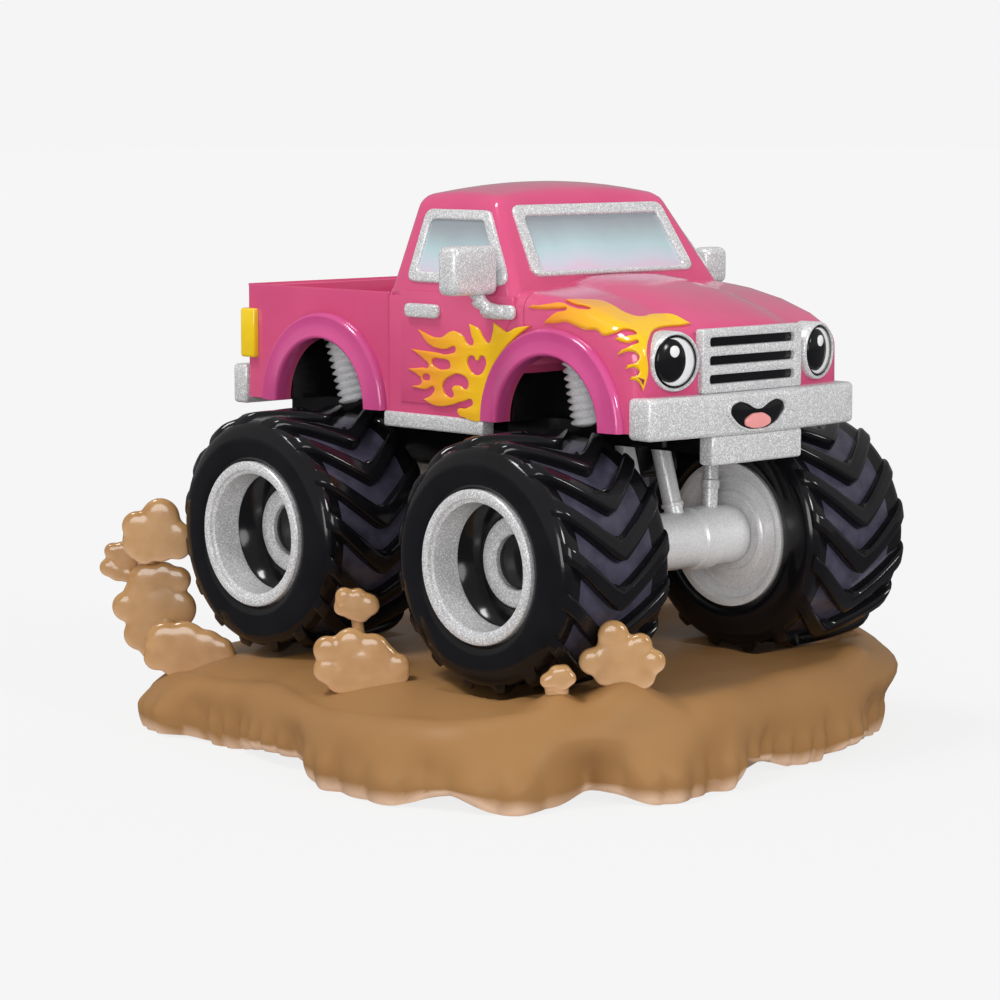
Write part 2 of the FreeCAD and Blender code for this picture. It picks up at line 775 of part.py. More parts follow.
def front_section(x, height, shrink):
    """A cross section of the front end: flat sides, soft shoulders, a raised middle."""
    half, radius = S["body_half_width"] - shrink, S["shoulder_radius"]
    top, edge = height - shrink, height - S["hood_crown"] - shrink
    low = S["body_bottom"] - S["overrun"]
    lean = radius * (1 - math.sqrt(1 / 2))
    across = [
        (half, low),
        (half, edge - radius),
        (half - lean, edge - lean),
        (half - radius, edge),
        (S["hood_panel_y"] + S["hood_panel_fall"], top - S["hood_panel_fall"] / 2),
        (S["hood_panel_y"], top),
    ]
    right = [Vector(x, -y, z) for y, z in across]
    left = [Vector(x, y, z) for y, z in reversed(across)]
    points = right + left
    return flat_face(points)


def front_envelope(shrink):
    """The section run along the cowl, the hood and the slope to the nose."""
    nose = S["nose_centre"] + S["overrun"]
    stations = [
        (-S["cab_rear"], S["cowl_height"]),
        (S["cowl_x"], S["cowl_height"]),
        (S["hood_mid_x"], S["hood_mid_height"]),
        (nose, S["hood_front_height"]),
    ]
    runs = []
    for (x0, z0), (x1, z1) in zip(stations, stations[1:]):
        runs.append(front_section(x0, z0, shrink).extrude(Vector(x1 - x0, 0, z1 - z0)))
    return fused(runs)


def nose_plan(grow):
    """The plan of the body seen from above: straight sides, round corners and a bowed nose."""
    half = S["body_half_width"] + grow
    corner_x, shoulder_x = S["nose_corner_x"] + grow, S["nose_shoulder"] + grow
    inset_x = (S["nose_shoulder"] - S["nose_corner_x"]) * CORNER_SHARE
    inset_y = (S["body_half_width"] - S["nose_shoulder_y"]) * CORNER_SHARE

    def corner_arc(side):
        ends = [Vector(corner_x, side * half, 0), Vector(shoulder_x, side * S["nose_shoulder_y"], 0)]
        middle = Vector(shoulder_x - inset_x, side * (half - inset_y), 0)
        return Part.Arc(ends[0], middle, ends[1]).toShape()

    bow = Part.Arc(
        Vector(shoulder_x, -S["nose_shoulder_y"], 0),
        Vector(S["nose_centre"] + grow, 0, 0),
        Vector(shoulder_x, S["nose_shoulder_y"], 0),
    )
    back = -S["bed_rear"]
    points = [Vector(corner_x, half, 0), Vector(back, half, 0), Vector(back, -half, 0), Vector(corner_x, -half, 0)]
    edges = [Part.makeLine(a, b) for a, b in zip(points, points[1:])]
    edges += [corner_arc(-1), bow.toShape(), corner_arc(1)]
    wire = Part.Wire(Part.__sortEdges__(edges))
    return Part.Face(wire).extrude(Vector(0, 0, S["roof_height"]))


CORNER_SHARE = 0.27
WIDE = S["body_half_width"] + S["overrun"]
HIGH = S["roof_height"] + S["overrun"]


def arch_cutters():
    cutters = []
    for axle_x in AXLES.values():
        start = Vector(axle_x, -WIDE, S["body_bottom"])
        cutters.append(flat_rod(start, start + Vector(0, 2 * WIDE, 0), S["arch_radius"], 2 * S["flare_flats"]))
    return cutters


def chamfered(points, size):
    """The outline with each corner cut off."""
    result = []
    for i, point in enumerate(points):
        before, after = points[i - 1] - point, points[(i + 1) % len(points)] - point
        result += [point + before.normalize() * size, point + after.normalize() * size]
    return result


def pane(corners, outward, inset, proud, deep):
    """A flat piece in the plane of four corners, from proud of it to deep under it."""
    points = corners
    if inset:
        wire = Part.makePolygon(corners + corners[:1]).makeOffset2D(-inset, 2)
        points = [vertex.Point for vertex in wire.OrderedVertexes]
    face = flat_face(chamfered(points, S["glass_chamfer"]))
    normal = face.normalAt(0, 0)
    if normal.dot(outward) < 0:
        normal = -normal
    face.translate(normal * -deep)
    return face.extrude(normal * (proud + deep))


def window(corners, outward):
    """The hole, the trim ring that lines it and the glass inside the ring."""
    deep = S["glass_recess"] + S["glass_thickness"]
    hole = pane(corners, outward, 0, S["overrun"], S["wall"] + S["overrun"])
    ring = pane(corners, outward, 0, S["trim_proud"], deep)
    ring = ring.cut(pane(corners, outward, S["trim_width"], S["overrun"], deep + S["overrun"]))
    glass = pane(corners, outward, S["trim_width"], -S["glass_recess"], deep)
    return hole, ring, glass


def framed(foot, head, at):
    """Four corners from two (height, half width) pairs, each placed by at."""
    return [at(foot[0], -foot[1]), at(foot[0], foot[1]), at(head[0], head[1]), at(head[0], -head[1])]


screen = window(
    framed(
        (S["screen_foot_height"], S["screen_foot_half"]),
        (S["screen_head_height"], S["screen_head_half"]),
        lambda height, y: Vector(screen_x(height), y, height),
    ),
    AXIS_X,
)
back_window = window(
    framed(
        (S["back_glass_foot_height"], S["back_glass_half_foot"]),
        (S["back_glass_head_height"], S["back_glass_half_head"]),
        lambda height, y: Vector(back_x(height), y, height),
    ),
    -AXIS_X,
)
glass_foot, glass_head = S["side_glass_foot_height"], S["side_glass_head_height"]
right_window = window(
    [
        Vector(-S["side_glass_rear_foot"], -side_y(glass_foot), glass_foot),
        Vector(S["side_glass_front_foot"], -side_y(glass_foot), glass_foot),
        Vector(S["side_glass_front_head"], -side_y(glass_head), glass_head),
        Vector(-S["side_glass_rear_head"], -side_y(glass_head), glass_head),
    ],
    -AXIS_Y,
)
left_window = [mirrored(piece) for piece in right_window]


def door_prism(side, shrink):
    """The door seen from the side, as deep as the wall; its front edge always stays put."""
    front = [
        (S["door_front_foot"], S["door_bottom"] + shrink),
        (S["door_front_mid_x"], S["door_front_mid_height"]),
        (S["door_front_knee_x"], S["door_front_knee_height"]),
        (S["door_front_belt"], S["door_front_belt_height"]),
        (S["door_front_belt"], S["belt"]),
        (S["door_head_front"], S["door_head_height"] - shrink),
    ]
    rear = [
        (-S["door_head_rear"] + shrink, S["door_head_height"] - shrink),
        (-S["door_rear"] + shrink, S["belt"]),
        (-S["door_rear"] + shrink, S["door_bottom"] + shrink),
    ]
    return prism([Vector(x, side * WIDE, z) for x, z in front + rear], Vector(0, -side * WIDE, 0))


def largest(shape):
    """The main solid, without slivers that a cut leaves beside it."""
    return max(shape.Solids, key=lambda solid: solid.Volume)


inside_core = cab_front_view(S["wall"])
behind_seam = block(-S["bed_rear"], S["door_front_belt"], -WIDE, WIDE, 0, HIGH)
cab_outer = cab_side_view(0).common(cab_front_view(0)).common(behind_seam.fuse(front_envelope(0)))
cab_inner = cab_side_view(S["wall"]).common(inside_core)
window_holes = [screen[0], back_window[0], right_window[0], left_window[0]]
underbody = [floor_pan.Shape, wheel_boxes.Shape]
cab_skin = cab_outer.cut(cab_inner).cut(arch_cutters() + window_holes + underbody)
cab_shell = cab_skin
for side_name, side in SIDES.items():
    solid_feature("door_" + side_name, largest(cab_skin.common(door_prism(side, S["panel_gap"]).cut(inside_core))))
    cab_shell = cab_shell.cut(door_prism(side, 0).cut(inside_core))
solid_feature("cab_shell", largest(cab_shell))


def lamp_turned(profile, side, flats):
    """A profile of (radius, distance before the lamp's face) turned about the lamp's own axis."""
    toe = math.radians(S["lamp_toe"])
    axis = Vector(math.cos(toe), side * math.sin(toe), 0)
    shape = flat_turned(profile, flats)
    face = Vector(S["lamp_face_x"], side * S["lamp_y"], S["lamp_height"])
    shape.Placement = FreeCAD.Placement(face, Rotation(AXIS_Y, axis))
    return shape


def lamp_hole(side):
    back, front = -S["lamp_depth"] - S["overrun"], S["overrun"]
    radius = S["lamp_radius"]
    return lamp_turned([(0, back), (radius, back), (radius, front), (0, front)], side, S["lamp_flats"])


front_part = block(S["hood_rear"], S["nose_centre"] + S["overrun"], -WIDE, WIDE, S["body_bottom"], HIGH)
engine_bay = front_envelope(S["wall"]).common(block(-WIDE, S["nose_wall_x"], -WIDE, WIDE, 0, HIGH))
grille_hole = block(
    S["hood_rear"], S["nose_centre"] + WIDE, -S["grille_half_width"], S["grille_half_width"], 0, S["grille_top"]
)
front_skin = front_envelope(0).common(nose_plan(0)).common(front_part).cut(engine_bay)
front_skin = front_skin.cut(arch_cutters() + [grille_hole] + [lamp_hole(side) for side in SIDES.values()])


def hood_block(shrink):
    half = S["hood_edge_y"] - shrink
    return block(S["hood_rear"], S["nose_centre"] + WIDE, -half, half, S["grille_top"], HIGH)


solid_feature("hood", largest(front_skin.common(hood_block(S["panel_gap"]))))
wings = front_skin.cut(hood_block(0))
for side_name, side in SIDES.items():
    y0, y1 = sorted((0, side * WIDE))
    solid_feature("wing_" + side_name, largest(wings.common(block(0, S["bed_rear"] + WIDE, y0, y1, 0, HIGH))))

# The load bed: an open box with its own floor, and a tailgate between its sides.
BED_FRONT = "-cab_rear - panel_gap"
BED_UNDER = "well_top + well_roof"
bed = new_body("bed")
pad(bed, "XY_Plane", rectangle("-bed_rear", BED_FRONT, "-body_half_width", "body_half_width"), "body_bottom", "bed_top")
inside_bed = rectangle("-bed_rear + wall", f"{BED_FRONT} - wall", f"-({SIDE_INSIDE})", SIDE_INSIDE)
pocket(bed, "XY_Plane", inside_bed, "bed_floor_top", "bed_top + overrun")
pocket(bed, "XY_Plane", inside_bed, "body_bottom - overrun", BED_UNDER)
pan_space = rectangle(PAN_REAR, f"{BED_FRONT} + overrun", f"-({SIDE_INSIDE})", SIDE_INSIDE)
pocket(bed, "XY_Plane", pan_space, "body_bottom - overrun", "body_bottom + pan_thickness")
gate_width = "tailgate_half_width + panel_gap"
gate_hole = rectangle(f"-({gate_width})", gate_width, "tailgate_bottom", "bed_top + overrun")
pocket(bed, "YZ_Plane", gate_hole, "-bed_rear - overrun", "-bed_rear + wall")
rear_arch = [
    (f"-wheel_base / 2 + {u}", f"body_bottom + {v}") for u, v in regular("arch_radius", 2 * S["flare_flats"])
]
pocket(bed, "XZ_Plane", rear_arch, "-body_half_width - overrun", "body_half_width + overrun")

tailgate = new_body("tailgate")
gate = rectangle("-tailgate_half_width", "tailgate_half_width", "tailgate_bottom", "bed_top - tailgate_drop")
pad(tailgate, "YZ_Plane", gate, "-bed_rear", "-bed_rear + wall - panel_gap")

# Glass and its silver trim.
solid_feature("windscreen_trim", screen[1])
solid_feature("windscreen", screen[2])
solid_feature("rear_window_trim", back_window[1])
solid_feature("rear_window", back_window[2])
solid_feature("side_window_trims", Part.makeCompound([right_window[1], left_window[1]]))
solid_feature("side_windows", Part.makeCompound([right_window[2], left_window[2]]))

# Wheel arch flares: half rings with a bulging face, seated on the flat sides.


def flare_shape(axle_x, side):
    out = side * S["flare_bulge"]
    inner, outer, soft = S["flare_inner_radius"], S["flare_outer_radius"], S["flare_round"]
    profile = [(inner, 0), (inner + soft, out), (outer - 2 * soft, out), (outer, out / 2), (outer, 0)]
    half_ring = flat_turned(profile, S["flare_flats"], 180)
    half_ring.translate(Vector(axle_x, side * S["body_half_width"], S["body_bottom"]))
    return half_ring


flares = [flare_shape(axle_x, side) for axle_x in AXLES.values() for side in SIDES.values()]
solid_feature("arch_flares", Part.makeCompound(flares))

# Sills and door handles, one of each a side.


def side_box(name, sign, x0, length, y_in, width, z0, height):
    """A Part box seated against one side of the truck; sign is - on the right."""
    box = doc.addObject("Part::Box", name)
    for size, expression in (("Length", length), ("Width", width), ("Height", height)):
        box.setExpression(size, linked(expression))
    y0 = f"{y_in}" if sign == "" else f"-({y_in}) - ({width})"
    for axis, expression in zip("xyz", (x0, y0, z0)):
        box.setExpression(f"Placement.Base.{axis}", linked(expression))
    return box


def pair_of(label, *sizes):
    pair = doc.addObject("Part::Compound", label)
    pair.Links = [side_box(f"{label}_{name}", sign, *sizes) for name, sign in (("right", "-"), ("left", ""))]
    return keep(pair, label)


pair_of(
    "sills",
    "-sill_rear",
    "sill_rear + sill_front",
    "body_half_width - sill_width",
    "sill_width + sill_proud",
    "body_bottom - sill_height",
    "sill_height",
)
pair_of(
    "door_handles",
    "-handle_rear",
    "handle_length",
    "body_half_width",
    "handle_proud",
    "handle_bottom",
    "handle_height",
)

# Mirrors: a square head on a bent arm that stands on a pad on the door.


def cut_corners(u0, u1, v0, v1, cut):
    """A rectangle's outline with its corners cut off by the same length."""
    return [
        (f"{u0} + {cut}", v0),
        (f"{u1} - {cut}", v0),
        (u1, f"{v0} + {cut}"),
        (u1, f"{v1} - {cut}"),
        (f"{u1} - {cut}", v1),
        (f"{u0} + {cut}", v1),
        (u0, f"{v1} - {cut}"),
        (u0, f"{v0} + {cut}"),
    ]


def make_mirror(label, sign):
    def across(points):
        return [(f"{sign}({u})", v) for u, v in points]

    body = new_body(label)
    plate = rectangle("pad_rear", "pad_rear + pad_length", "pad_bottom", "pad_bottom + pad_height")
    ends = ["body_half_width", "body_half_width + pad_proud"]
    start, end = ends if sign == "" else [f"-({end})" for end in reversed(ends)]
    pad(body, "XZ_Plane", plate, start, end)
    middle, thick = "pad_bottom + pad_height / 2", "mirror_arm / 2"
    head_low = "mirror_height - mirror_tall / 2"
    arm = [
        ("body_half_width + pad_proud / 2", f"{middle} - {thick}"),
        ("mirror_arm_y", f"{middle} - {thick}"),
        ("mirror_arm_y + mirror_arm", f"{middle} + {thick}"),
        ("mirror_arm_y + mirror_arm", f"{head_low} + mirror_arm"),
        ("mirror_arm_y", f"{head_low} + mirror_arm"),
        ("mirror_arm_y", f"{middle} + mirror_arm"),
        ("mirror_arm_y - mirror_arm / 2", f"{middle} + {thick}"),
        ("body_half_width + pad_proud / 2", f"{middle} + {thick}"),
    ]
    pad(body, "YZ_Plane", across(arm), "mirror_x - mirror_arm / 2", "mirror_x + mirror_arm / 2")
    y0, y1 = "mirror_y - mirror_width / 2", "mirror_y + mirror_width / 2"
    head = cut_corners(y0, y1, head_low, f"{head_low} + mirror_tall", "mirror_round")
    pad(body, "YZ_Plane", across(head), "mirror_x - mirror_depth / 2", "mirror_x + mirror_depth / 2")


make_mirror("mirror_right", "-")
make_mirror("mirror_left", "")

# Grille: a silver plate with three long slots, and a dark plate behind it.
GRILLE_BACK = "grille_front - grille_thickness"
grille_outline = rectangle("-grille_half_width", "grille_half_width", "grille_bottom", "grille_top")
grille = new_body("grille")
pad(grille, "YZ_Plane", grille_outline, GRILLE_BACK, "grille_front")
for i in range(int(S["slot_count"])):
    low = f"slot_first + {i} * slot_pitch"
    slot = cut_corners("-slot_half_width", "slot_half_width", low, f"{low} + slot_height", "slot_height / 3")
    pocket(grille, "YZ_Plane", slot, f"{GRILLE_BACK} - overrun", "grille_front + overrun")
backing = new_body("grille_backing")
pad(backing, "YZ_Plane", grille_outline, f"{GRILLE_BACK} - grille_backing", GRILLE_BACK)

# Headlamps: a silver cup with a rim, a white lens in it and a black spot on the lens.
bezels, lenses, pupils = [], [], []
for side in SIDES.values():
    radius, back, rim = S["lamp_radius"], -S["lamp_depth"], S["lamp_bezel"]
    recess, proud = S["lens_recess"], S["bezel_proud"]
    cup = [(0, back), (radius, back), (radius, 0), (radius - rim / 2, proud), (radius - rim, 0)]
    cup += [(radius - rim, -recess), (0, -recess)]
    bezels.append(lamp_turned(cup, side, S["lamp_flats"]))
    lens = [(0, -recess), (radius - rim, -recess), (radius - rim, 0), (0, 0)]
    lenses.append(lamp_turned(lens, side, S["lamp_flats"]))
    pupil = [(0, 0), (S["pupil_radius"], 0), (S["pupil_radius"], S["pupil_proud"]), (0, S["pupil_proud"])]
    spot = lamp_turned(pupil, side, S["lamp_flats"])
    toe = math.radians(S["lamp_toe"])
    spot.translate(Vector(side * math.sin(toe), -math.cos(toe), 0) * S["pupil_shift"])
    pupils.append(spot)
solid_feature("headlamp_bezels", Part.makeCompound(bezels))
solid_feature("headlamp_lenses", Part.makeCompound(lenses))
solid_feature("headlamp_pupils", Part.makeCompound(pupils))

# Front bumper with its smile and tongue, and the skid plate under it.


def bumper_shape():
    half, cut = S["bumper_half_width"], S["bumper_corner"]
    reach = S["bumper_thickness"]
    front, back = S["nose_shoulder"] + reach, FRONT_AXLE + S["flare_outer_radius"] + S["panel_gap"]
    points = [
        Vector(front, half - cut, 0),
        Vector(front - cut, half, 0),
        Vector(back, half, 0),
        Vector(back, -half, 0),
        Vector(front - cut, -half, 0),
        Vector(front, cut - half, 0),
    ]
    bar = arched(points, Vector(S["nose_centre"] + reach, 0, 0)).extrude(Vector(0, 0, S["bumper_height"]))
    bar.translate(Vector(0, 0, S["bumper_bottom"]))
    return largest(bar.cut(nose_plan(S["panel_gap"])))


def mouth_face(x):
    """An open smile: two raised cheeks, a dip between them and a rounded chin."""
    half, top, centre = S["mouth_half_width"], S["mouth_top"], S["mouth_y"]
    cheek, low = half / 2, S["mouth_top"] - S["mouth_dip"]
    right, dip, left = (Vector(x, centre + y, low) for y in (-half, 0, half))
    edges = [
        Part.Arc(right, Vector(x, centre - cheek, top), dip).toShape(),
        Part.Arc(dip, Vector(x, centre + cheek, top), left).toShape(),
        Part.Arc(left, Vector(x, centre, top - S["mouth_height"]), right).toShape(),
    ]
    return Part.Face(Part.Wire(edges))


mouth_floor = S["nose_centre"] + S["bumper_thickness"] - 2 * S["mouth_depth"]
mouth_recess = mouth_face(mouth_floor).extrude(Vector(S["overrun"], 0, 0))
solid_feature("front_bumper", bumper_shape().cut(mouth_recess))
chin = Vector(mouth_floor, S["mouth_y"], S["mouth_top"] - S["mouth_height"])
tongue_disc = Part.makeCylinder(S["tongue_radius"], S["mouth_depth"], chin, AXIS_X)
mouth_plate = mouth_face(mouth_floor).extrude(Vector(S["mouth_depth"], 0, 0))
solid_feature("smile", mouth_plate.cut(tongue_disc))
solid_feature("tongue", mouth_plate.common(tongue_disc))

skid_plate = new_body("skid_plate")
skid = cut_corners("-skid_half_width", "skid_half_width", "skid_bottom", "skid_bottom + skid_height", "skid_cut")
pad(skid_plate, "YZ_Plane", skid, "rail_front_end", "rail_front_end + skid_thickness")

# Rear end: bumper and tail lamps that wrap the corners.
rear_bumper = new_body("rear_bumper")
REAR_FACE = "-bed_rear - rear_bumper_depth"
rear_plan = [
    ("-bed_rear", "-rear_bumper_half_width"),
    ("-bed_rear", "rear_bumper_half_width"),
    (f"{REAR_FACE} + bumper_corner", "rear_bumper_half_width"),
    (REAR_FACE, "rear_bumper_half_width - bumper_corner"),
    (REAR_FACE, "-rear_bumper_half_width + bumper_corner"),
    (f"{REAR_FACE} + bumper_corner", "-rear_bumper_half_width"),
]
REAR_LOW = "body_bottom - rear_bumper_drop"
pad(rear_bumper, "XY_Plane", rear_plan, REAR_LOW, f"{REAR_LOW} + rear_bumper_height")


def tail_lamp_shape(side):
    rear, half, proud = -S["bed_rear"], S["body_half_width"], S["tail_lamp_proud"]
    plan = [
        (rear, half - S["tail_lamp_width"]),
        (rear - proud, half - S["tail_lamp_width"]),
        (rear - proud, half),
        (rear, half + proud),
        (rear + S["tail_lamp_length"], half + proud),
        (rear + S["tail_lamp_length"], half),
        (rear, half),
    ]
    points = [Vector(x, side * y, S["tail_lamp_bottom"]) for x, y in plan]
    return prism(points, Vector(0, 0, S["tail_lamp_height"]))


solid_feature("tail_lamps", Part.makeCompound([tail_lamp_shape(side) for side in SIDES.values()]))

# The mound of mud: rings of points whose reach is set bearing by bearing, with lobes
# round the lip, a rut under each wheel and lumps thrown up beside the wheels.
MUD_REACH_SHARES = {
    -180: 0.92,
    -165: 0.96,
    -150: 1.02,
    -134: 1.11,
    -120: 0.96,
    -108: 0.892,
    -92: 0.91,
    -76: 1.01,
    -62: 1.144,
    -48: 1.152,
    -38: 1.02,
    -29: 1.052,
    -15: 0.97,
    2: 0.88,
    18: 0.95,
    42: 0.99,
    66: 1.02,
    90: 0.92,
    112: 0.96,
    134: 1.06,
    158: 0.96,
    180: 0.92,
}
# Each ring's share of the mound's height, of its edge's inset and of its lobes.
MUD_RING_SHARES = (
    (0, 0.14, 1),
    (0.12, 0.02, 1),
    (0.25, 0, 1),
    (0.55, 0.1, 0.2),
    (0.85, 0.42, 0),
    (1, 1, 0),
)
LOBES = 8.5
LOBE_SWAY = 1.4
LOBE_PHASE = 0.6
CLOD_RINGS = 5
# Each lump's place along from its axle, out from the near tyres and up from the mud's
# top, then its half sizes along, across and up, all as shares of the tyre's reach.
LUMP_SHARES = [
    (REAR_AXLE, (-1.34, -0.09, 0.75), (0.28, 0.27, 0.3)),
    (REAR_AXLE, (-1.7, 0.01, 0.53), (0.18, 0.167, 0.173)),
    (REAR_AXLE, (-1.315, 0.045, 0.18), (0.4, 0.357, 0.4)),
    (REAR_AXLE, (-0.98, 0, -0.167), (0.417, 0.31, 0.262)),
    (REAR_AXLE, (1.41, -0.027, 0.083), (0.357, 0.298, 0.28)),
    (REAR_AXLE, (1.333, -0.039, 0.45), (0.179, 0.155, 0.15)),
    (FRONT_AXLE, (1.107, 0.449, 0.31), (0.262, 0.286, 0.256)),
    (FRONT_AXLE, (1.077, 0.47, 0.024), (0.274, 0.274, 0.179)),
    (FRONT_AXLE, (0.952, -0.086, 0.119), (0.155, 0.143, 0.155)),
    (FRONT_AXLE, (0.929, -0.036, 0), (0.202, 0.19, 0.095)),
]


def mud_reach(bearing):
    """How far the mound reaches along a bearing in degrees, eased between the measured ones."""
    stops = list(MUD_REACH_SHARES.items())
    for (low, near), (high, far) in zip(stops, stops[1:]):
        if bearing <= high:
            share = (bearing - low) / (high - low)
            return S["mud_reach"] * (near + (far - near) * share * share * (3 - 2 * share))


def lobe(bearing):
    """From 0 in the valleys between the lobes of the lip to 1 on them."""
    angle = math.radians(bearing)
    return math.sqrt(abs(math.sin(LOBES * angle + LOBE_SWAY * math.sin(2 * angle) + LOBE_PHASE)))


def mud_ring(height_share, inset_share, lobe_share):
    count = int(S["mud_points"])
    ring = []
    for i in range(count):
        bearing = 360 * i / count - 180
        radius = mud_reach(bearing) - inset_share * S["mud_edge"]
        radius -= lobe_share * S["mud_lobe"] * (1 - lobe(bearing))
        angle = math.radians(bearing)
        ring.append(Vector(radius * math.cos(angle), radius * math.sin(angle), height_share * S["mud_top"]))
    return ring


def clod(centre, radii):
    """A rounded lump with flat facets."""
    count = int(S["clod_points"])
    rings = []
    for level in range(CLOD_RINGS):
        tilt = math.pi * (level + 1 / 2) / CLOD_RINGS
        ring = []
        for i in range(count):
            angle = 2 * math.pi * i / count
            spot = (math.sin(tilt) * math.cos(angle), math.sin(tilt) * math.sin(angle), -math.cos(tilt))
            ring.append(centre + Vector(*[part * radius for part, radius in zip(spot, radii)]))
        rings.append(ring)
    return faceted(rings)


def rut(axle_x, side):
    width = S["tyre_width"] + 2 * S["rut_side_gap"]
    start = Vector(axle_x, side * S["track"] / 2 - width / 2, S["hub_height"])
    return Part.makeCylinder(S["lug_tip_radius"] + S["running_gap"], width, start, AXIS_Y)


near_face = -(S["track"] + S["tyre_width"]) / 2
clods = []
for axle_x, place_shares, size_shares in LUMP_SHARES:
    along, out, up = [share * S["lug_tip_radius"] for share in place_shares]
    radii = [share * S["lug_tip_radius"] for share in size_shares]
    clods.append(clod(Vector(axle_x + along, near_face + out, S["mud_top"] + up), radii))
mound = faceted([mud_ring(*shares) for shares in MUD_RING_SHARES])
ruts = [rut(axle_x, side) for axle_x in AXLES.values() for side in SIDES.values()]
solid_feature("mud_base", largest(mound.multiFuse(clods).cut(ruts)))

# Check every object, then write each sub-part.
doc.recompute()
for feature in doc.Objects:
    if "Invalid" in feature.State or "Error" in feature.State:
        raise RuntimeError(f"{feature.Label} failed: {feature.State}")
os.makedirs("parts", exist_ok=True)
for feature in made:
    shape = feature.Shape
    if shape.isNull() or not shape.isValid() or not shape.Solids:
        raise RuntimeError(f"{feature.Label} has no valid solid")
    shape.exportStep(os.path.join("parts", feature.Label + ".step"))
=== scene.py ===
import math

import bmesh
import bpy
from mathutils import Matrix, Vector
from mathutils.bvhtree import BVHTree


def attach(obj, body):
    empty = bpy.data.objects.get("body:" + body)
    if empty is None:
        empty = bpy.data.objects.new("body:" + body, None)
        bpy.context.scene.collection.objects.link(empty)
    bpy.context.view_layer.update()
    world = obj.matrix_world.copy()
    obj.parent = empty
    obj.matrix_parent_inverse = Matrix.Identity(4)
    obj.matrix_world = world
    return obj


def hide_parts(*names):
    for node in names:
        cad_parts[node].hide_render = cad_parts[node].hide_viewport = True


# A small painted resin model of a pickup monster truck on a mound of mud.
# Shapes are drawn in millimetres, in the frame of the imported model: forward is +X,
# the truck's left is +Y and up is +Z. They become metres when a piece is finished.

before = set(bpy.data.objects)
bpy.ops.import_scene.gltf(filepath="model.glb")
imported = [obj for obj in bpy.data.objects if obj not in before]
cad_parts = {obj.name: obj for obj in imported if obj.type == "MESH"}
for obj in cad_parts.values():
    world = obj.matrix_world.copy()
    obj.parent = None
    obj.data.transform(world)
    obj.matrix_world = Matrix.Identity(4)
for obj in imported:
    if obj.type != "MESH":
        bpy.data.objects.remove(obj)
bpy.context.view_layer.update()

# Mound of mud. One poured lump of resin, enamelled brown, with a fat scalloped lip
# round its foot. The wheels have pressed ruts into its top. It rests flat on its underside.
MM = 0.001
MUD_TOP = 12.4
MUD_BULGE_HEIGHT = 3.0
MUD_EDGE = 4.6
MUD_STEPS = 170
EDGE_SHARE = 0.74
EDGE_TURN = math.radians(120)
LOBE_TOP = 9.0
SHELF_BEARING = 47
SHELF_HEIGHT = 8.6
SHELF_REACH = 3.0
# By bearing round the mound: how far it reaches, how high its foot is off the table,
# and how far its crest lies below its top.
MUD_REACH = {
    -180: 46.0, -165: 48.0, -150: 53.0, -142: 55.4, -134: 56.0, -127: 54.0, -120: 49.0, -108: 44.6,
    -92: 45.5, -76: 51.5, -62: 57.2, -48: 58.2, -38: 51.0, -29: 54.0, -15: 49.8, -8: 45.6, 2: 44.0,
    18: 47.0, 34: 46.6, 48: 48.0, 66: 51.0, 90: 46.0, 112: 48.0, 134: 53.0, 158: 48.0,
}
MUD_LIFT = {
    -180: 0.5, -134: 0.0, -122: 0.4, -114: 0.0, -97: 1.6, -86: 1.5, -77: 0.0, -64: 0.2, -56: 1.9,
    -49: 0.0, -43: 0.2, -36: 1.4, -28: 0.0, -16: 0.0, -9: 2.4, -3: 1.6, 4: 0.3, 10: 0.2, 17: 1.3,
    23: 1.7, 30: 0.4, 42: 0.0, 60: 0.9, 90: 0.0, 120: 0.9, 150: 0.0,
}
MUD_DROP = {
    -180: 1.5, -155: 3.4, -138: 5.0, -122: 3.8, -104: 2.8, -85: 3.2, -60: 1.8, -40: 0.4, -10: 0.4,
    20: 0.0, 100: 0.0, 150: 1.0,
}
# Mud heaped beside the tyres and under the splashes, as x, y, spread and rise.
MUD_BANKS = [
    (40.2, -24.8, 4.4, 3.0), (35.8, -32.4, 2.6, 1.8), (1.0, -30.0, 6.0, 1.0),
    (0.0, 30.0, 7.0, 1.6), (40.0, 24.0, 4.5, 1.6), (-40.0, 24.0, 4.5, 1.6),
]
WHEEL_BASE = 44.8
TRACK = 47.1
HUB_HEIGHT = 28.0
RUT_RADIUS = 17.3
RUT_HALF_WIDTH = 10.8
RUT_SHOULDER = 1.1
WHEELS = {
    f"{end}_{side}": (x * WHEEL_BASE / 2, y * TRACK / 2)
    for end, x in (("front", 1), ("rear", -1))
    for side, y in (("right", -1), ("left", 1))
}


def seen(red, green, blue):
    """A colour as the eye sees it, from 0 to 255, in the linear values of a shader."""
    shares = [part / 255 for part in (red, green, blue)]
    linear = [((s + 0.055) / 1.055) ** 2.4 if s > 0.04 else s / 12.92 for s in shares]
    return (*linear, 1.0)


def add_node(tree, kind, sockets=(), **settings):
    """A new node of a finish, with values for its sockets and its own settings."""
    node = tree.nodes.new("ShaderNode" + kind)
    for socket, value in dict(sockets).items():
        node.inputs[socket].default_value = value
    for setting, value in settings.items():
        setattr(node, setting, value)
    return node


def wire(tree, *wires):
    """Links nodes: each wire is a node, its output, the next node and its socket."""
    for node, output, following, socket in wires:
        tree.links.new(node.outputs[output], following.inputs[socket])


def set_ramp(ramp, stops):
    """Gives a colour ramp its stops, each a position and a colour, from low to high."""
    elements = ramp.color_ramp.elements
    while len(elements) < len(stops):
        elements.new(1.0)
    for element, (position, colour) in zip(elements, stops):
        element.position, element.color = position, colour


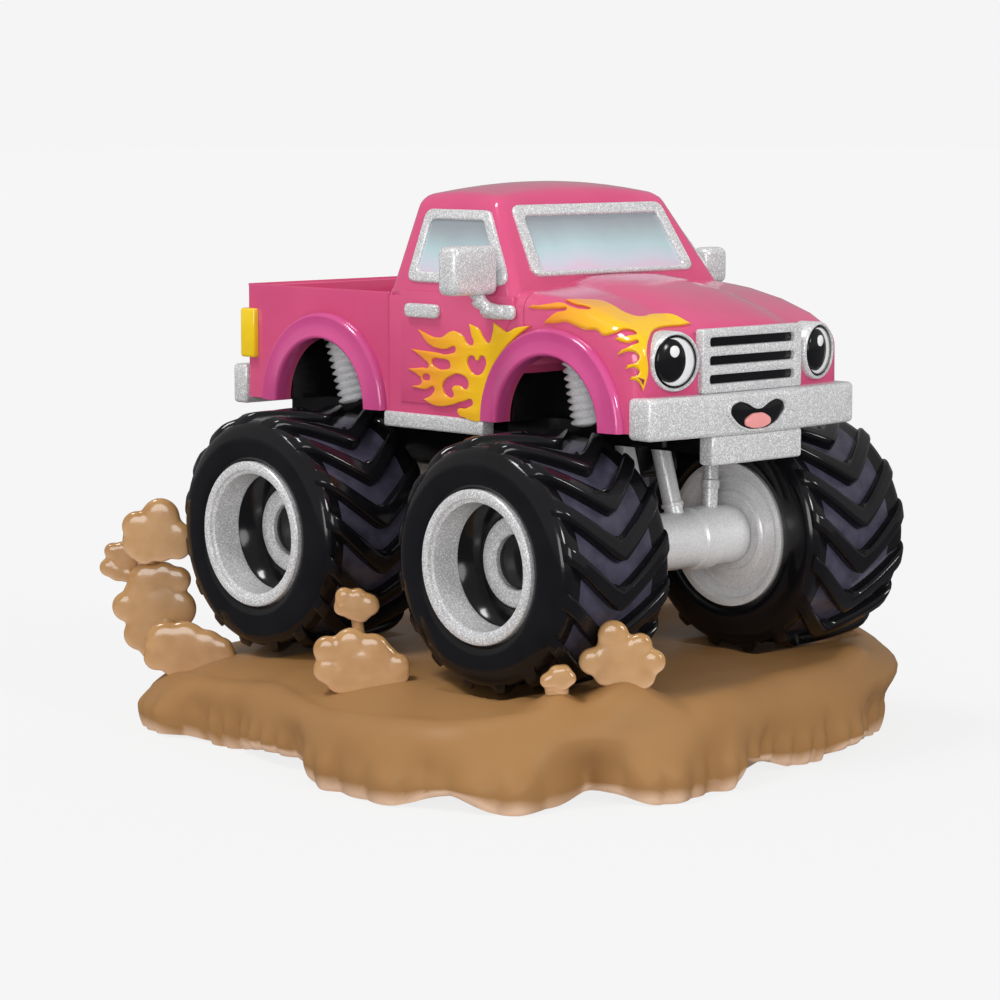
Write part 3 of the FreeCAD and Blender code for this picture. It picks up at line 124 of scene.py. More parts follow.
def set_shader(paint, **values):
    """Sets numbers on a paint's own shader; Coat_Weight is its socket Coat Weight."""
    sockets = paint.node_tree.nodes["Principled BSDF"].inputs
    for name, value in values.items():
        sockets[name.replace("_", " ")].default_value = value


def enamel(name, light, dark, gloss=0.16, patch=7.0, coat=0.5, peel=0.12, shine=0.5):
    """Glossy enamel brushed over resin: two close shades in soft patches under a clear coat,
    with the faint orange peel and brush waves that thick paint dries with."""
    paint = bpy.data.materials.new(name)
    paint.use_nodes = True
    tree = paint.node_tree
    shader = tree.nodes["Principled BSDF"]
    place = add_node(tree, "TexCoord", name="place")
    patches = add_node(tree, "TexNoise", {"Scale": 1 / (patch * MM), "Detail": 3.0}, name="patches")
    shade = add_node(tree, "ValToRGB", name="shade")
    set_ramp(shade, [(0.3, seen(*dark)), (0.62, seen(*light))])
    skin = add_node(tree, "TexNoise", {"Scale": 1 / (0.9 * MM), "Detail": 2.0})
    wear = add_node(tree, "MapRange", {"To Min": gloss * 0.75, "To Max": gloss * 1.35})
    relief = add_node(tree, "Bump", {"Strength": peel, "Distance": 0.06 * MM})
    wire(
        tree,
        (place, "Object", patches, "Vector"),
        (place, "Object", skin, "Vector"),
        (patches, "Fac", shade, "Fac"),
        (shade, "Color", shader, "Base Color"),
        (patches, "Fac", wear, "Value"),
        (wear, "Result", shader, "Roughness"),
        (skin, "Fac", relief, "Height"),
        (relief, "Normal", shader, "Normal"),
    )
    set_shader(paint, Specular_IOR_Level=shine, Coat_Weight=coat, Coat_Roughness=0.06)
    return paint


def painted_reflection_below(paint, tone, start, end, ceiling=100):
    """Paints a paler tone on faces that look down, a painted reflection of the pale floor
    below them; start and end are the upward parts of the normal where that begins and where
    it is full. Above the ceiling's height nothing changes."""
    tree = paint.node_tree
    place, shade = tree.nodes["place"], tree.nodes["shade"]
    way, spot = add_node(tree, "SeparateXYZ"), add_node(tree, "SeparateXYZ")
    down = add_node(tree, "MapRange", {"From Min": start, "From Max": end})
    low = add_node(tree, "MapRange", {"From Min": ceiling * MM, "From Max": (ceiling - 0.8) * MM})
    both = add_node(tree, "Math", operation="MULTIPLY")
    mix = add_node(tree, "MixRGB", {"Color2": seen(*tone)})
    wire(
        tree,
        (place, "Normal", way, "Vector"),
        (place, "Object", spot, "Vector"),
        (way, "Z", down, "Value"),
        (spot, "Z", low, "Value"),
        (down, "Result", both, 0),
        (low, "Result", both, 1),
        (both, "Value", mix, "Fac"),
        (shade, "Color", mix, "Color1"),
        (mix, "Color", tree.nodes["Principled BSDF"], "Base Color"),
    )


def put_in_scene(name, data):
    """An object at the origin for a mesh, a curve, a lamp or the camera."""
    item = bpy.data.objects.new(name, data)
    bpy.context.scene.collection.objects.link(item)
    return item


def as_mesh(name, shape):
    """Writes a bmesh out as a mesh, which ends the bmesh."""
    mesh = bpy.data.meshes.new(name)
    shape.to_mesh(mesh)
    shape.free()
    return mesh


def make_piece(name, shape, paint, stands_for=(), crease=40, body="truck"):
    """Makes an object of a shape drawn in millimetres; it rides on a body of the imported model."""
    bmesh.ops.scale(shape, vec=(MM, MM, MM), verts=shape.verts)
    mesh = as_mesh(name, shape)
    mesh.polygons.foreach_set("use_smooth", [True] * len(mesh.polygons))
    mesh.set_sharp_from_angle(angle=math.radians(crease))
    mesh.materials.append(paint)
    piece = put_in_scene(name, mesh)
    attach(piece, body)
    if stands_for:
        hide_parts(*stands_for)
    return piece


def eased(share):
    """A share from 0 to 1 that starts and ends softly."""
    share = min(max(share, 0), 1)
    return share * share * (3 - 2 * share)


def round_about(table, bearing):
    """A value from a table that runs round the mound, eased between its bearings."""
    stops = sorted(table)
    stops.append(stops[0] + 360)
    for low, high in zip(stops, stops[1:]):
        if low <= bearing <= high:
            start, end = table[low], table[high if high in table else high - 360]
            return start + (end - start) * eased((bearing - low) / (high - low))
    return table[stops[0]]


def scallop(bearing, low_down):
    """The lobes of the lip: round outwards, with tight valleys between them. The small
    ones show at the foot alone, where low_down nears 1."""
    angle = math.radians(bearing)
    broad = abs(math.sin(8.5 * angle + 1.4 * math.sin(2 * angle) + 0.6)) ** 0.7
    small = abs(math.sin(35 * angle + 1.9 * math.sin(3 * angle)))
    return 1.9 * (broad - 1) * low_down + (0.85 * small - 0.15) * low_down**6


def press_rut(x, y, height):
    """The mud's height once the wheels have been pressed into it."""
    for wheel_x, wheel_y in WHEELS.values():
        off = abs(y - wheel_y) - RUT_HALF_WIDTH
        along = abs(x - wheel_x)
        if off < RUT_SHOULDER and along < RUT_RADIUS:
            floor = HUB_HEIGHT - math.sqrt(RUT_RADIUS**2 - along**2)
            rise = max(off, 0) / RUT_SHOULDER
            height = min(height, floor + rise * rise * (MUD_TOP - floor))
    return height


def pushed_up(x, y):
    """How far the mud is heaped beside the tyres and at the foot of each splash."""
    heap = 0.25 * math.sin(x / 5.1) * math.sin(y / 4.3 + 1)
    for bank_x, bank_y, spread, rise in MUD_BANKS:
        heap = max(heap, rise * math.exp(-((x - bank_x) ** 2 + (y - bank_y) ** 2) / spread**2))
    return heap


mound = bmesh.new()
bmesh.ops.create_grid(mound, x_segments=MUD_STEPS, y_segments=MUD_STEPS, size=1)
for vert in mound.verts:
    outward = max(abs(vert.co.x), abs(vert.co.y))
    angle = math.atan2(vert.co.y, vert.co.x)
    bearing = math.degrees(angle)
    reach = round_about(MUD_REACH, bearing)
    near = [round_about(MUD_REACH, (bearing + off + 180) % 360 - 180) for off in range(-12, 13, 4)]
    calm = sum(near) / len(near)
    lift = round_about(MUD_LIFT, bearing)
    crest = MUD_TOP - round_about(MUD_DROP, bearing)
    if outward <= EDGE_SHARE:
        radius = (calm - MUD_EDGE) * outward / EDGE_SHARE
        height = MUD_TOP + (crest - MUD_TOP) * (outward / EDGE_SHARE) ** 5
    else:
        turn = EDGE_TURN * (outward - EDGE_SHARE) / (1 - EDGE_SHARE)
        above = crest - MUD_BULGE_HEIGHT if turn < math.pi / 2 else 2 * (MUD_BULGE_HEIGHT - lift)
        height = MUD_BULGE_HEIGHT + above * math.cos(turn)
        low_down = eased((LOBE_TOP - height) / (LOBE_TOP - MUD_BULGE_HEIGHT))
        foot = calm + (reach - calm) * low_down
        radius = foot - MUD_EDGE + (MUD_EDGE + scallop(bearing, low_down)) * math.sin(turn)
        beside = (bearing - SHELF_BEARING) / 18
        over = (height - SHELF_HEIGHT) / 3
        radius += SHELF_REACH * math.exp(-beside * beside - over * over)
    x, y = radius * math.cos(angle), radius * math.sin(angle)
    if height > crest - 2:
        height += pushed_up(x, y)
    vert.co = Vector((x, y, max(press_rut(x, y, height), 0)))
bmesh.ops.holes_fill(mound, edges=[edge for edge in mound.edges if edge.is_boundary])
bmesh.ops.recalc_face_normals(mound, faces=mound.faces)
mud_paint = enamel(
    "mud brown enamel", (158, 117, 72), (152, 111, 67), gloss=0.45, patch=16, coat=0, peel=0.04, shine=0.2
)
# Painted reflection: the down-facing lip near the foot is painted a paler tan, where the pale floor would
# light it.
painted_reflection_below(mud_paint, (218, 184, 156), -0.12, -0.34, ceiling=3.2)
make_piece("mud_mound", mound, mud_paint, ["mud_base"], crease=60)

# Mud thrown up by the wheels. Flat clouds of the same resin, held to the mound and to
# each other by short necks, and painted a lighter tan over the brown.
SPLASH_DEPTH = 2.2
SPLASH_AHEAD = 1.0
SPLASH_FACE = 2.0
LOBE_GROWTH = 1.12
FINE_CELL = 0.2
ALONG, AHEAD, UP = Vector((1, 1, 0)).normalized(), Vector((1, -1, 0)).normalized(), Vector((0, 0, 1))
# Each has its middle, the half sizes of its core, and lobes as along, up and radius.
SPLASHES = {
    "behind_top": (
        (-44.6, -35.0, 25.0), (3.0, 3.2, 3.0),
        [(-0.8, 2.2, 2.0), (2.5, 3.5, 2.5), (4.5, 0.7, 2.2), (1.0, 0.2, 2.2), (0.2, -1.5, 1.6),
         (2.5, -0.7, 2.0), (4.9, -0.7, 1.7), (2.1, 1.6, 3.3)],
    ),
    "behind_drop": (
        (-51.0, -33.4, 21.3), (1.8, 2.0, 1.8),
        [(-1.8, 1.6, 1.1), (-0.4, 1.9, 1.0), (-2.4, -0.8, 1.2), (-0.1, 0.6, 1.9), (0.4, -1.8, 1.1),
         (-1.0, -1.4, 1.3)],
    ),
    "behind_middle": (
        (-44.5, -32.8, 15.4), (3.6, 3.6, 4.0),
        [(-1.4, 3.6, 2.5), (-4.2, 0.1, 2.0), (-2.4, 2.0, 2.1), (0.6, 0.8, 3.3), (-2.5, -3.9, 2.1),
         (0.6, -2.6, 3.7), (-1.5, -1.3, 2.8), (-0.8, -5.8, 1.6), (1.0, 4.5, 1.9), (3.1, 4.0, 1.7),
         (2.7, -0.2, 2.7)],
    ),
    "behind_foot": (
        (-35.9, -36.55, 9.7), (3.4, 3.0, 2.2),
        [(-2.4, 0.0, 1.7), (0.2, -0.8, 1.9), (2.8, -1.3, 1.9), (5.7, -0.9, 1.9), (7.2, 0.4, 1.4),
         (1.5, 1.6, 3.2), (4.5, 1.1, 2.6), (-1.1, 2.0, 2.7), (6.7, 1.1, 1.6)],
    ),
    "middle": (
        (4.8, -37.5, 13.9), (4.0, 3.8, 3.0),
        [(-4.4, 2.0, 1.7), (-1.3, 2.5, 2.2), (1.5, 1.9, 2.1), (-4.4, -0.6, 1.7), (-2.5, -1.7, 2.0),
         (-0.4, -2.5, 1.9), (2.3, -2.4, 2.1), (4.4, -1.0, 1.8), (-0.4, -0.1, 3.4), (1.8, -0.1, 3.1),
         (5.0, 0.1, 1.3)],
    ),
    "middle_drop": (
        (0.0, -34.2, 20.0), (1.8, 2.0, 1.4),
        [(-1.5, 2.1, 1.1), (-1.7, 0.6, 1.1), (-0.1, 0.6, 1.6), (1.7, 0.9, 1.4), (0.3, 2.0, 1.1),
         (0.7, -0.3, 1.1)],
    ),
    "front": (
        (39.6, -24.6, 16.4), (3.0, 3.8, 3.0),
        [(-1.2, 4.1, 1.8), (-3.8, 0.8, 1.6), (2.2, 2.9, 1.4), (3.9, 0.8, 1.4), (-2.2, -0.9, 1.3),
         (0.2, -1.2, 1.5), (2.4, -1.0, 1.6), (-0.5, 1.3, 2.9), (1.3, 0.6, 2.4)],
    ),
    "front_drop": (
        (35.6, -32.2, 13.7), (1.5, 1.7, 1.3),
        [(-0.1, 2.5, 0.9), (-1.2, 1.5, 0.9), (0.6, 1.4, 1.1), (1.6, 1.8, 0.8), (0.9, 2.7, 0.8),
         (-0.1, 1.7, 1.0)],
    ),
}
# Each neck has its two ends and its radius.
NECKS = [
    ((-45.6, -34.0, 24.0), (-45.9, -31.4, 16.0), 1.7),
    ((-51.2, -33.0, 20.8), (-46.6, -31.2, 16.0), 1.1),
    ((-45.0, -31.6, 14.0), (-38.6, -32.6, 8.0), 2.2),
    ((0.0, -34.2, 19.6), (3.2, -35.8, 14.0), 0.8),
]


def clod(centre, reach, lobes):
    """A core against the tyre or the mud and, ahead of it, a flat cloud of balls that
    faces the front right corner."""
    turn = Matrix((ALONG, AHEAD, UP)).transposed().to_4x4()
    places = [Matrix.Translation(centre) @ Matrix.Diagonal((*reach, 1))]
    for x, z, size in lobes:
        spot = Vector(centre) + ALONG * x + AHEAD * SPLASH_AHEAD + UP * z
        squeeze = Matrix.Diagonal((size * LOBE_GROWTH, SPLASH_DEPTH, size * LOBE_GROWTH, 1))
        places.append(Matrix.Translation(spot) @ turn @ squeeze)
    lump = bmesh.new()
    for place in places:
        bmesh.ops.create_icosphere(lump, subdivisions=3, radius=1, matrix=place)
    bmesh.ops.recalc_face_normals(lump, faces=lump.faces)
    return lump


def taken_up(blank):
    """The finished form of a blank object as a bmesh; the blank goes."""
    depsgraph = bpy.context.evaluated_depsgraph_get()
    result = bmesh.new()
    result.from_mesh(bpy.data.meshes.new_from_object(blank.evaluated_get(depsgraph)))
    bpy.data.objects.remove(blank)
    return result


def modified(shape, *modifiers):
    """The shape after modifiers, each given by its kind and its settings."""
    blank = put_in_scene("blank", as_mesh("blank", shape))
    for kind, settings in modifiers:
        modifier = blank.modifiers.new(kind, kind)
        for setting, value in settings.items():
            setattr(modifier, setting, value)
    return taken_up(blank)


def melted(shape, cell, rounds):
    """The shape's outer skin rebuilt as one closed surface and smoothed."""
    skin = ("REMESH", {"mode": "VOXEL", "voxel_size": cell})
    return modified(shape, skin, ("SMOOTH", {"factor": 0.5, "iterations": rounds}))


splash_paint = enamel("splash brown enamel", (180, 137, 86), (166, 122, 72), gloss=0.2, patch=3, peel=0.04)
# Painted reflection: the splashes' down-facing undersides are painted a paler tan, where the floor would light
# them.
painted_reflection_below(splash_paint, (222, 180, 140), 0.15, -0.45)
for splash_name, splash in SPLASHES.items():
    cloud = melted(clod(*splash), FINE_CELL, 30)
    for vert in cloud.verts:
        deep = (vert.co - Vector(splash[0])).dot(AHEAD)
        if deep > 0:
            vert.co += AHEAD * (SPLASH_FACE * math.tanh(deep / SPLASH_FACE) - deep)
    make_piece("splash_" + splash_name, cloud, splash_paint, crease=180)
necks = bmesh.new()
for start, end, thickness in NECKS:
    way = Vector(end) - Vector(start)
    turn = UP.rotation_difference(way).to_matrix().to_4x4()
    bmesh.ops.create_cone(
        necks,
        cap_ends=True,
        segments=24,
        radius1=thickness,
        radius2=thickness,
        depth=way.length,
        matrix=Matrix.Translation((Vector(start) + Vector(end)) / 2) @ turn,
    )
make_piece("splash_necks", melted(necks, FINE_CELL, 8), splash_paint, crease=180)

# Tyres. Each is cast as one ring of resin in gloss black, with sixteen fat V-shaped
# lugs that run right across it and wrap over its shoulders.
TYRE_HALF_WIDTH = 10.0
LUG_COUNT = 16
LUG_SWEEP = 7.0
LUG_THICKNESS = 3.1
LUG_ROOT = 13.9
LUG_TIP = 16.75
LUG_SHOULDER = 0.78
TREAD_FLOOR = 15.2
TYRE_STEPS = 128
sidewall = [
    (10.02, 9.2), (10.25, 9.7), (10.7, 9.95), (11.6, 10.0), (13.4, 9.98), (14.4, 9.8), (15.1, 9.4),
    (15.5, 8.8), (15.45, 8.0), (TREAD_FLOOR, 6.5), (TREAD_FLOOR, 3.0),
]
tyre_paint = enamel("tyre black enamel", (19, 18, 21), (14, 14, 16), gloss=0.12, patch=5, coat=0, shine=0.4)
# The tread's floor is painted violet grey: a painted sheen that stands in for the floor's light reflected into
# the grooves.
tread_sheen_paint = enamel("tread painted sheen enamel", (74, 72, 88), (56, 54, 68), patch=3, coat=0, shine=0.4)


def turned(profile, steps, closed=True):
    """A bmesh of (radius, y) points spun right round the Y axis."""
    shape = bmesh.new()
    ring = [shape.verts.new((radius, y, 0)) for radius, y in profile]
    edges = [shape.edges.new(pair) for pair in zip(ring, ring[1:])]
    if closed:
        edges.append(shape.edges.new((ring[-1], ring[0])))
    bmesh.ops.spin(
        shape,
        geom=ring + edges,
        cent=(0, 0, 0),
        axis=(0, 1, 0),
        angle=2 * math.pi,
        steps=steps,
        use_merge=True,
    )
    bmesh.ops.remove_doubles(shape, verts=shape.verts, dist=0.001)
    bmesh.ops.recalc_face_normals(shape, faces=shape.faces)
    return shape


def mirrored(profile):
    """The other half of a profile, on the far side of y = 0."""
    return [(radius, -y) for radius, y in reversed(profile)]


def joined(shapes):
    """Several shapes in one bmesh."""
    whole = bmesh.new()
    for shape in shapes:
        whole.from_mesh(as_mesh("part", shape))
    return whole


def move(shape, way):
    bmesh.ops.translate(shape, vec=way, verts=shape.verts)
    return shape


def rotate(shape, turn):
    bmesh.ops.rotate(shape, cent=(0, 0, 0), matrix=turn, verts=shape.verts)
    return shape


def soften(shape, edges, offset, segments=4):
    """Rounds some of a shape's edges."""
    bmesh.ops.bevel(
        shape, geom=edges, offset=offset, segments=segments, profile=0.5, affect="EDGES", material=-1
    )
    return shape


def lug():
    """One V-shaped lug, first flat with its height along Z, then wrapped on the tyre."""
    bar = bmesh.new()
    bmesh.ops.create_grid(bar, x_segments=3, y_segments=28, size=0.5)
    top = bmesh.ops.extrude_face_region(bar, geom=bar.faces[:])
    raised = [item for item in top["geom"] if isinstance(item, bmesh.types.BMVert)]
    bmesh.ops.translate(bar, vec=(0, 0, 1), verts=raised)
    rim = [e for e in bar.edges if all(v in raised for v in e.verts) and len(e.link_faces) == 2]
    rim = [e for e in rim if e.calc_face_angle(0) > 1]
    for vert in bar.verts:
        along, across, up = vert.co
        share = abs(across) * 2
        width = LUG_THICKNESS * (1 - 0.16 * up) * (1.12 - 0.16 * share)
        lean = LUG_SWEEP * (share**1.12 - 0.5)
        vert.co = Vector((along * width + lean, across * 2 * (TYRE_HALF_WIDTH - 0.6), up))
    soften(bar, rim, 0.42, 3)
    for vert in bar.verts:
        along, across, up = vert.co
        share = abs(across) / TYRE_HALF_WIDTH
        tip = LUG_TIP - 0.25 * share**2 - (max(0, share - LUG_SHOULDER) / 0.16) ** 2
        radius = LUG_ROOT + (tip - LUG_ROOT) * up
        angle = along / TREAD_FLOOR
        vert.co = Vector((radius * math.cos(angle), across, radius * math.sin(angle)))
    return bar


def make_tyre(name, at):
    """The ring with its lugs; the tread's floor between them is painted violet grey, a painted sheen of
    reflected light.
    """
    parts = [turned(sidewall + mirrored(sidewall), TYRE_STEPS)]
    for number in range(LUG_COUNT):
        bar = rotate(lug(), Matrix.Rotation(number * 2 * math.pi / LUG_COUNT, 3, "Y"))
        bmesh.ops.recalc_face_normals(bar, faces=bar.faces)
        parts.append(bar)
    tyre = joined(parts)
    for face in tyre.faces:
        radii = [math.hypot(vert.co.x, vert.co.z) for vert in face.verts]
        if TREAD_FLOOR - 0.3 < min(radii) and max(radii) < TREAD_FLOOR + 0.1:
            face.material_index = 1
    move(tyre, at)
    ring = make_piece("tyre_ring_" + name, tyre, tyre_paint, ["tyre_" + name], 50, "wheel_" + name)
    ring.data.materials.append(tread_sheen_paint)


for wheel_name, (wheel_x, wheel_y) in WHEELS.items():
    make_tyre(wheel_name, (wheel_x, wheel_y, HUB_HEIGHT))

# Wheels. A deep dish with a stepped silver lip, a black cone inside it and a raised
# silver hub ring round a black cap. The silver is paint full of glitter flakes.
RIM_STEPS = 96
# Beyond this depth, on the side towards the truck, the rim is painted lighter silver to offset its shade.
SHADE_LIFT_DEPTH = 4.9
rim_profile = [
    (10.0, -9.4), (10.0, -10.1), (9.85, -10.3), (9.5, -10.38), (9.0, -10.38), (8.82, -10.3),
    (8.75, -10.1), (8.72, -9.85), (8.5, -9.8), (8.3, -9.7), (8.22, -9.4), (8.1, -5.6), (8.1, -2.2),
    (6.0, -2.2), (6.0, -3.0), (5.85, -3.2), (5.5, -3.3), (4.1, -3.3), (3.75, -3.2), (3.6, -3.0),
    (3.6, -1.9), (0.0, -1.9), (0.0, 5.0), (2.6, 5.0), (2.9, 8.6), (4.9, 8.6), (5.0, 9.0), (5.2, 9.15),
    (5.7, 9.15), (5.9, 9.0), (6.0, 8.6), (7.2, 8.5), (7.35, 8.75), (7.7, 8.75), (7.85, 8.5),
    (8.8, 8.6), (9.0, 9.7), (9.2, 9.95), (9.6, 10.0), (10.0, 9.9), (10.0, 9.4),
]
cone_profile = [
    (8.15, -5.5), (8.05, -5.7), (7.6, -5.35), (6.1, -3.1), (6.02, -2.85), (6.02, -2.0), (8.15, -2.0),
]
cap_profile = [(0.0, -2.9), (2.6, -2.85), (3.3, -2.65), (3.58, -2.3), (3.58, -1.95), (0.0, -1.95)]


def glitter_silver(name, tone=0.64, flake=0.12):
    """Silver paint full of fine glitter: every flake has its own tone and its own tilt."""
    paint = bpy.data.materials.new(name)
    paint.use_nodes = True
    tree = paint.node_tree
    shader = tree.nodes["Principled BSDF"]
    place = add_node(tree, "TexCoord")
    flakes = add_node(tree, "TexVoronoi", {"Scale": 1 / (flake * MM)})
    tones = add_node(tree, "ValToRGB")
    low, middle = (tone * 0.8, tone * 0.8, tone * 0.81, 1), (tone, tone, tone * 1.02, 1)
    set_ramp(tones, [(0.1, low), (0.6, middle), (0.95, (1, 1, 1, 1))])
    split = add_node(tree, "SeparateColor")
    relief = add_node(tree, "Bump", {"Strength": 0.15, "Distance": 0.03 * MM})
    wire(
        tree,
        (place, "Object", flakes, "Vector"),
        (flakes, "Color", split, "Color"),
        (split, "Red", tones, "Fac"),
        (split, "Green", relief, "Height"),
        (tones, "Color", shader, "Base Color"),
        (relief, "Normal", shader, "Normal"),
    )
    set_shader(paint, Metallic=0.2, Roughness=0.3, Coat_Weight=0.3, Coat_Roughness=0.1)
    return paint


silver_paint = glitter_silver("silver glitter paint")
# A lighter copy of the silver, painted so to offset the shade on the rims' inner faces, the axles and the
# coils.
shade_lifted_silver = glitter_silver("silver paint lightened against shade", tone=0.95, flake=0.1)
black_paint = enamel("black enamel", (18, 18, 20), (13, 13, 15), gloss=0.14, patch=6, coat=0, shine=0.4)


def make_wheel(name, at):
    """A rim whose inner face is painted lighter silver to offset its shade, and the black cone with its cap;
    the dish faces outwards.
    """
    flip = 1 if at[1] < 0 else -1
    rim, cone, cap = (
        turned([(radius, y * flip) for radius, y in profile], RIM_STEPS)
        for profile in (rim_profile, cone_profile, cap_profile)
    )
    move(rim, at)
    dish = make_piece("rim_dish_" + name, rim, silver_paint, ["rim_" + name], 28, "wheel_" + name)
    dish.data.materials.append(shade_lifted_silver)
    for face in dish.data.polygons:
        if (face.center.y / MM - at[1]) * flip > SHADE_LIFT_DEPTH:
            face.material_index = 1
    disc = move(joined([cone, cap]), at)
    make_piece("rim_cone_" + name, disc, black_paint, ["wheel_disc_" + name], 28, "wheel_" + name)


for wheel_name, (wheel_x, wheel_y) in WHEELS.items():
    make_wheel(wheel_name, (wheel_x, wheel_y, HUB_HEIGHT))

# Axles, links and shock absorbers. Thick silver tubes between the wheels carry two
# round struts to the frame, and a rod at each end that runs up into a ribbed coil.
axle_profile = [
    (0.0, -25.0), (1.95, -25.0), (1.95, -14.4), (3.7, -14.4), (4.0, -14.1), (4.0, -9.3), (4.3, -9.0),
    (4.35, -7.5), (4.3, -5.8), (4.0, -5.5), (3.9, 0.0),
]
ROD_RADIUS = 1.1
ROD_FOOT_Y = 10.2
ROD_HEAD_Y = 13.3
ROD_FOOT_Z = 31.6
ROD_HEAD_Z = 54.5
STRUT_RADIUS = 1.3
STRUT_LEAN = 3.2
STRUT_Y = 3.4
STRUT_RISE = 3.2
STRUT_HEAD_Z = 41.7
COIL_FOOT_Z = 44.7
COIL_TURNS = 10
COIL_STEPS = 8
COIL_BORE = 1.15
COIL_ROOT = 1.75
COIL_RADIUS = 2.45
# Each axle has its place, the way its struts lean and how far its rods lean back.
AXLES = {"front": (WHEEL_BASE / 2, -1, 1.9), "rear": (-WHEEL_BASE / 2, 1, 4.6)}


def along_line(shape, start, end):
    """Stands a shape that was turned round Y, from 0 up, on the line from start to end."""
    way = Vector(end) - Vector(start)
    return move(rotate(shape, Vector((0, 1, 0)).rotation_difference(way).to_matrix()), start)


def round_rod(start, end, radius):
    """A rod with softly rounded ends and a thin collar near its foot."""
    length = (Vector(end) - Vector(start)).length
    soft, collar = radius * 0.3, radius * 1.18
    profile = [
        (0, 0), (radius - soft, 0), (radius, soft), (radius, length * 0.12), (collar, length * 0.13),
        (collar, length * 0.17), (radius, length * 0.18), (radius, length - soft),
        (radius - soft, length), (0, length),
    ]
    return along_line(turned(profile, 32, closed=False), start, end)


def ribbed_coil(start, end):
    """A spring as it is cast: a sleeve with a round rib for each turn."""
    pitch = (end - start).length / COIL_TURNS
    ribs = [(COIL_BORE, 0.0)]
    for step in range(COIL_TURNS * COIL_STEPS + 1):
        wave = (1 - math.cos(2 * math.pi * step / COIL_STEPS)) / 2
        ribs.append((COIL_ROOT + (COIL_RADIUS - COIL_ROOT) * wave**0.6, step * pitch / COIL_STEPS))
    ribs.append((COIL_BORE, COIL_TURNS * pitch))
    return along_line(turned(ribs, 40), start, end)


# The tubes, struts and coils wear the lighter silver, painted so to offset the shade they sit in under the
# body.
for axle_name, (axle_x, inward, rod_lean) in AXLES.items():
    tube = turned(axle_profile + mirrored(axle_profile[:-1]), 64, closed=False)
    move(tube, (axle_x, 0, HUB_HEIGHT))
    make_piece("axle_tube_" + axle_name, tube, shade_lifted_silver, [axle_name + "_axle"], crease=28)
    struts, rods, coils = [], [], []
    for side in (-1, 1):
        foot = Vector((axle_x, side * STRUT_Y, HUB_HEIGHT + STRUT_RISE))
        head = Vector((axle_x + inward * STRUT_LEAN, side * STRUT_Y, STRUT_HEAD_Z))
        struts.append(round_rod(foot, head, STRUT_RADIUS))
        foot = Vector((axle_x, side * ROD_FOOT_Y, ROD_FOOT_Z))
        head = Vector((axle_x - rod_lean, side * ROD_HEAD_Y, ROD_HEAD_Z))
        rods.append(round_rod(foot, head, ROD_RADIUS))
        share = (COIL_FOOT_Z - ROD_FOOT_Z) / (ROD_HEAD_Z - ROD_FOOT_Z)
        coils.append(ribbed_coil(foot + (head - foot) * share, head))
    make_piece("struts_" + axle_name, joined(struts), shade_lifted_silver, ["axle_links_" + axle_name])
    make_piece("rods_" + axle_name, joined(rods), silver_paint, ["shock_rods_" + axle_name])
    make_piece("coils_" + axle_name, joined(coils), shade_lifted_silver, ["coil_springs_" + axle_name])

# Frame, floor pan and the boxes over the wheels, seen only from below and through the
# arches, painted gloss black. A belly pan hangs between the rails, and a skirt below
# each box, inside its tyre.
PAN_LOW, PAN_HIGH = (-24.5, -8.8, 36.2), (18.5, 8.8, 43.4)
SKIRT_INNER, SKIRT_OUTER = 12.3, 13.1
SKIRT_BEHIND, SKIRT_BEFORE = 15.4, 13.0
SKIRT_BOTTOM, SKIRT_TOP = 42.8, 45.2


def box_shape(low, high):
    """A plain box between two corners, to be worked on."""
    shape = bmesh.new()
    size = [b - a for a, b in zip(low, high)]
    middle = [(a + b) / 2 for a, b in zip(low, high)]
    bmesh.ops.create_cube(shape, size=1, matrix=Matrix.Translation(middle) @ Matrix.Diagonal((*size, 1)))
    return shape


def soft_box(low, high, soft):
    """A block between two corners with every edge rounded."""
    shape = box_shape(low, high)
    return soften(shape, shape.edges[:], soft)


make_piece("belly_pan", soft_box(PAN_LOW, PAN_HIGH, 1.3), black_paint)
skirts = []
for axle_x in (-WHEEL_BASE / 2, WHEEL_BASE / 2):
    for side in (-1, 1):
        low, high = sorted((side * SKIRT_INNER, side * SKIRT_OUTER))
        corner = (axle_x - SKIRT_BEHIND, low, SKIRT_BOTTOM)
        skirts.append(box_shape(corner, (axle_x + SKIRT_BEFORE, high, SKIRT_TOP)))
make_piece("box_skirts", joined(skirts), black_paint)
for node_name in ("chassis_frame", "floor_pan", "wheel_boxes"):
    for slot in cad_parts[node_name].material_slots:
        slot.material = black_paint

# Body shell of the front end: hood and both wings. A thin shell with soft shoulders
# and a raised middle to the hood, open below, with holes for the wheels and the face.
BODY_BOTTOM = 45.0
BODY_BLANK_TOP = 60.0
HALF_WIDTH = 20.0
HOOD_REAR = 17.2
NOSE_X = 38.6
NOSE_BOW = 1.5
ARCH_RADIUS = 9.3
WALL = 1.4
SHOULDER = 2.2
LAMP_X = 38.3
LAMP_Y = 13.9
LAMP_Z = 54.0
LAMP_TOE = math.radians(10)
HOOD_STOPS = [
    (-10.0, 64.0), (15.5, 64.0), (22.0, 63.3), (28.0, 62.0), (33.0, 60.3), (36.0, 59.0), (38.6, 57.9),
]
HOOD_LINES = (3.0, 6.0, 8.8, 9.8, 10.8, 12.0, 14.0, 16.6)
FORE, RIGHT, LEFT = Vector((1, 0, 0)), Vector((0, -1, 0)), Vector((0, 1, 0))
pink_paint = enamel(
    "pink enamel", (214, 84, 128), (204, 74, 120), gloss=0.14, patch=18, coat=0.4, peel=0.06
)


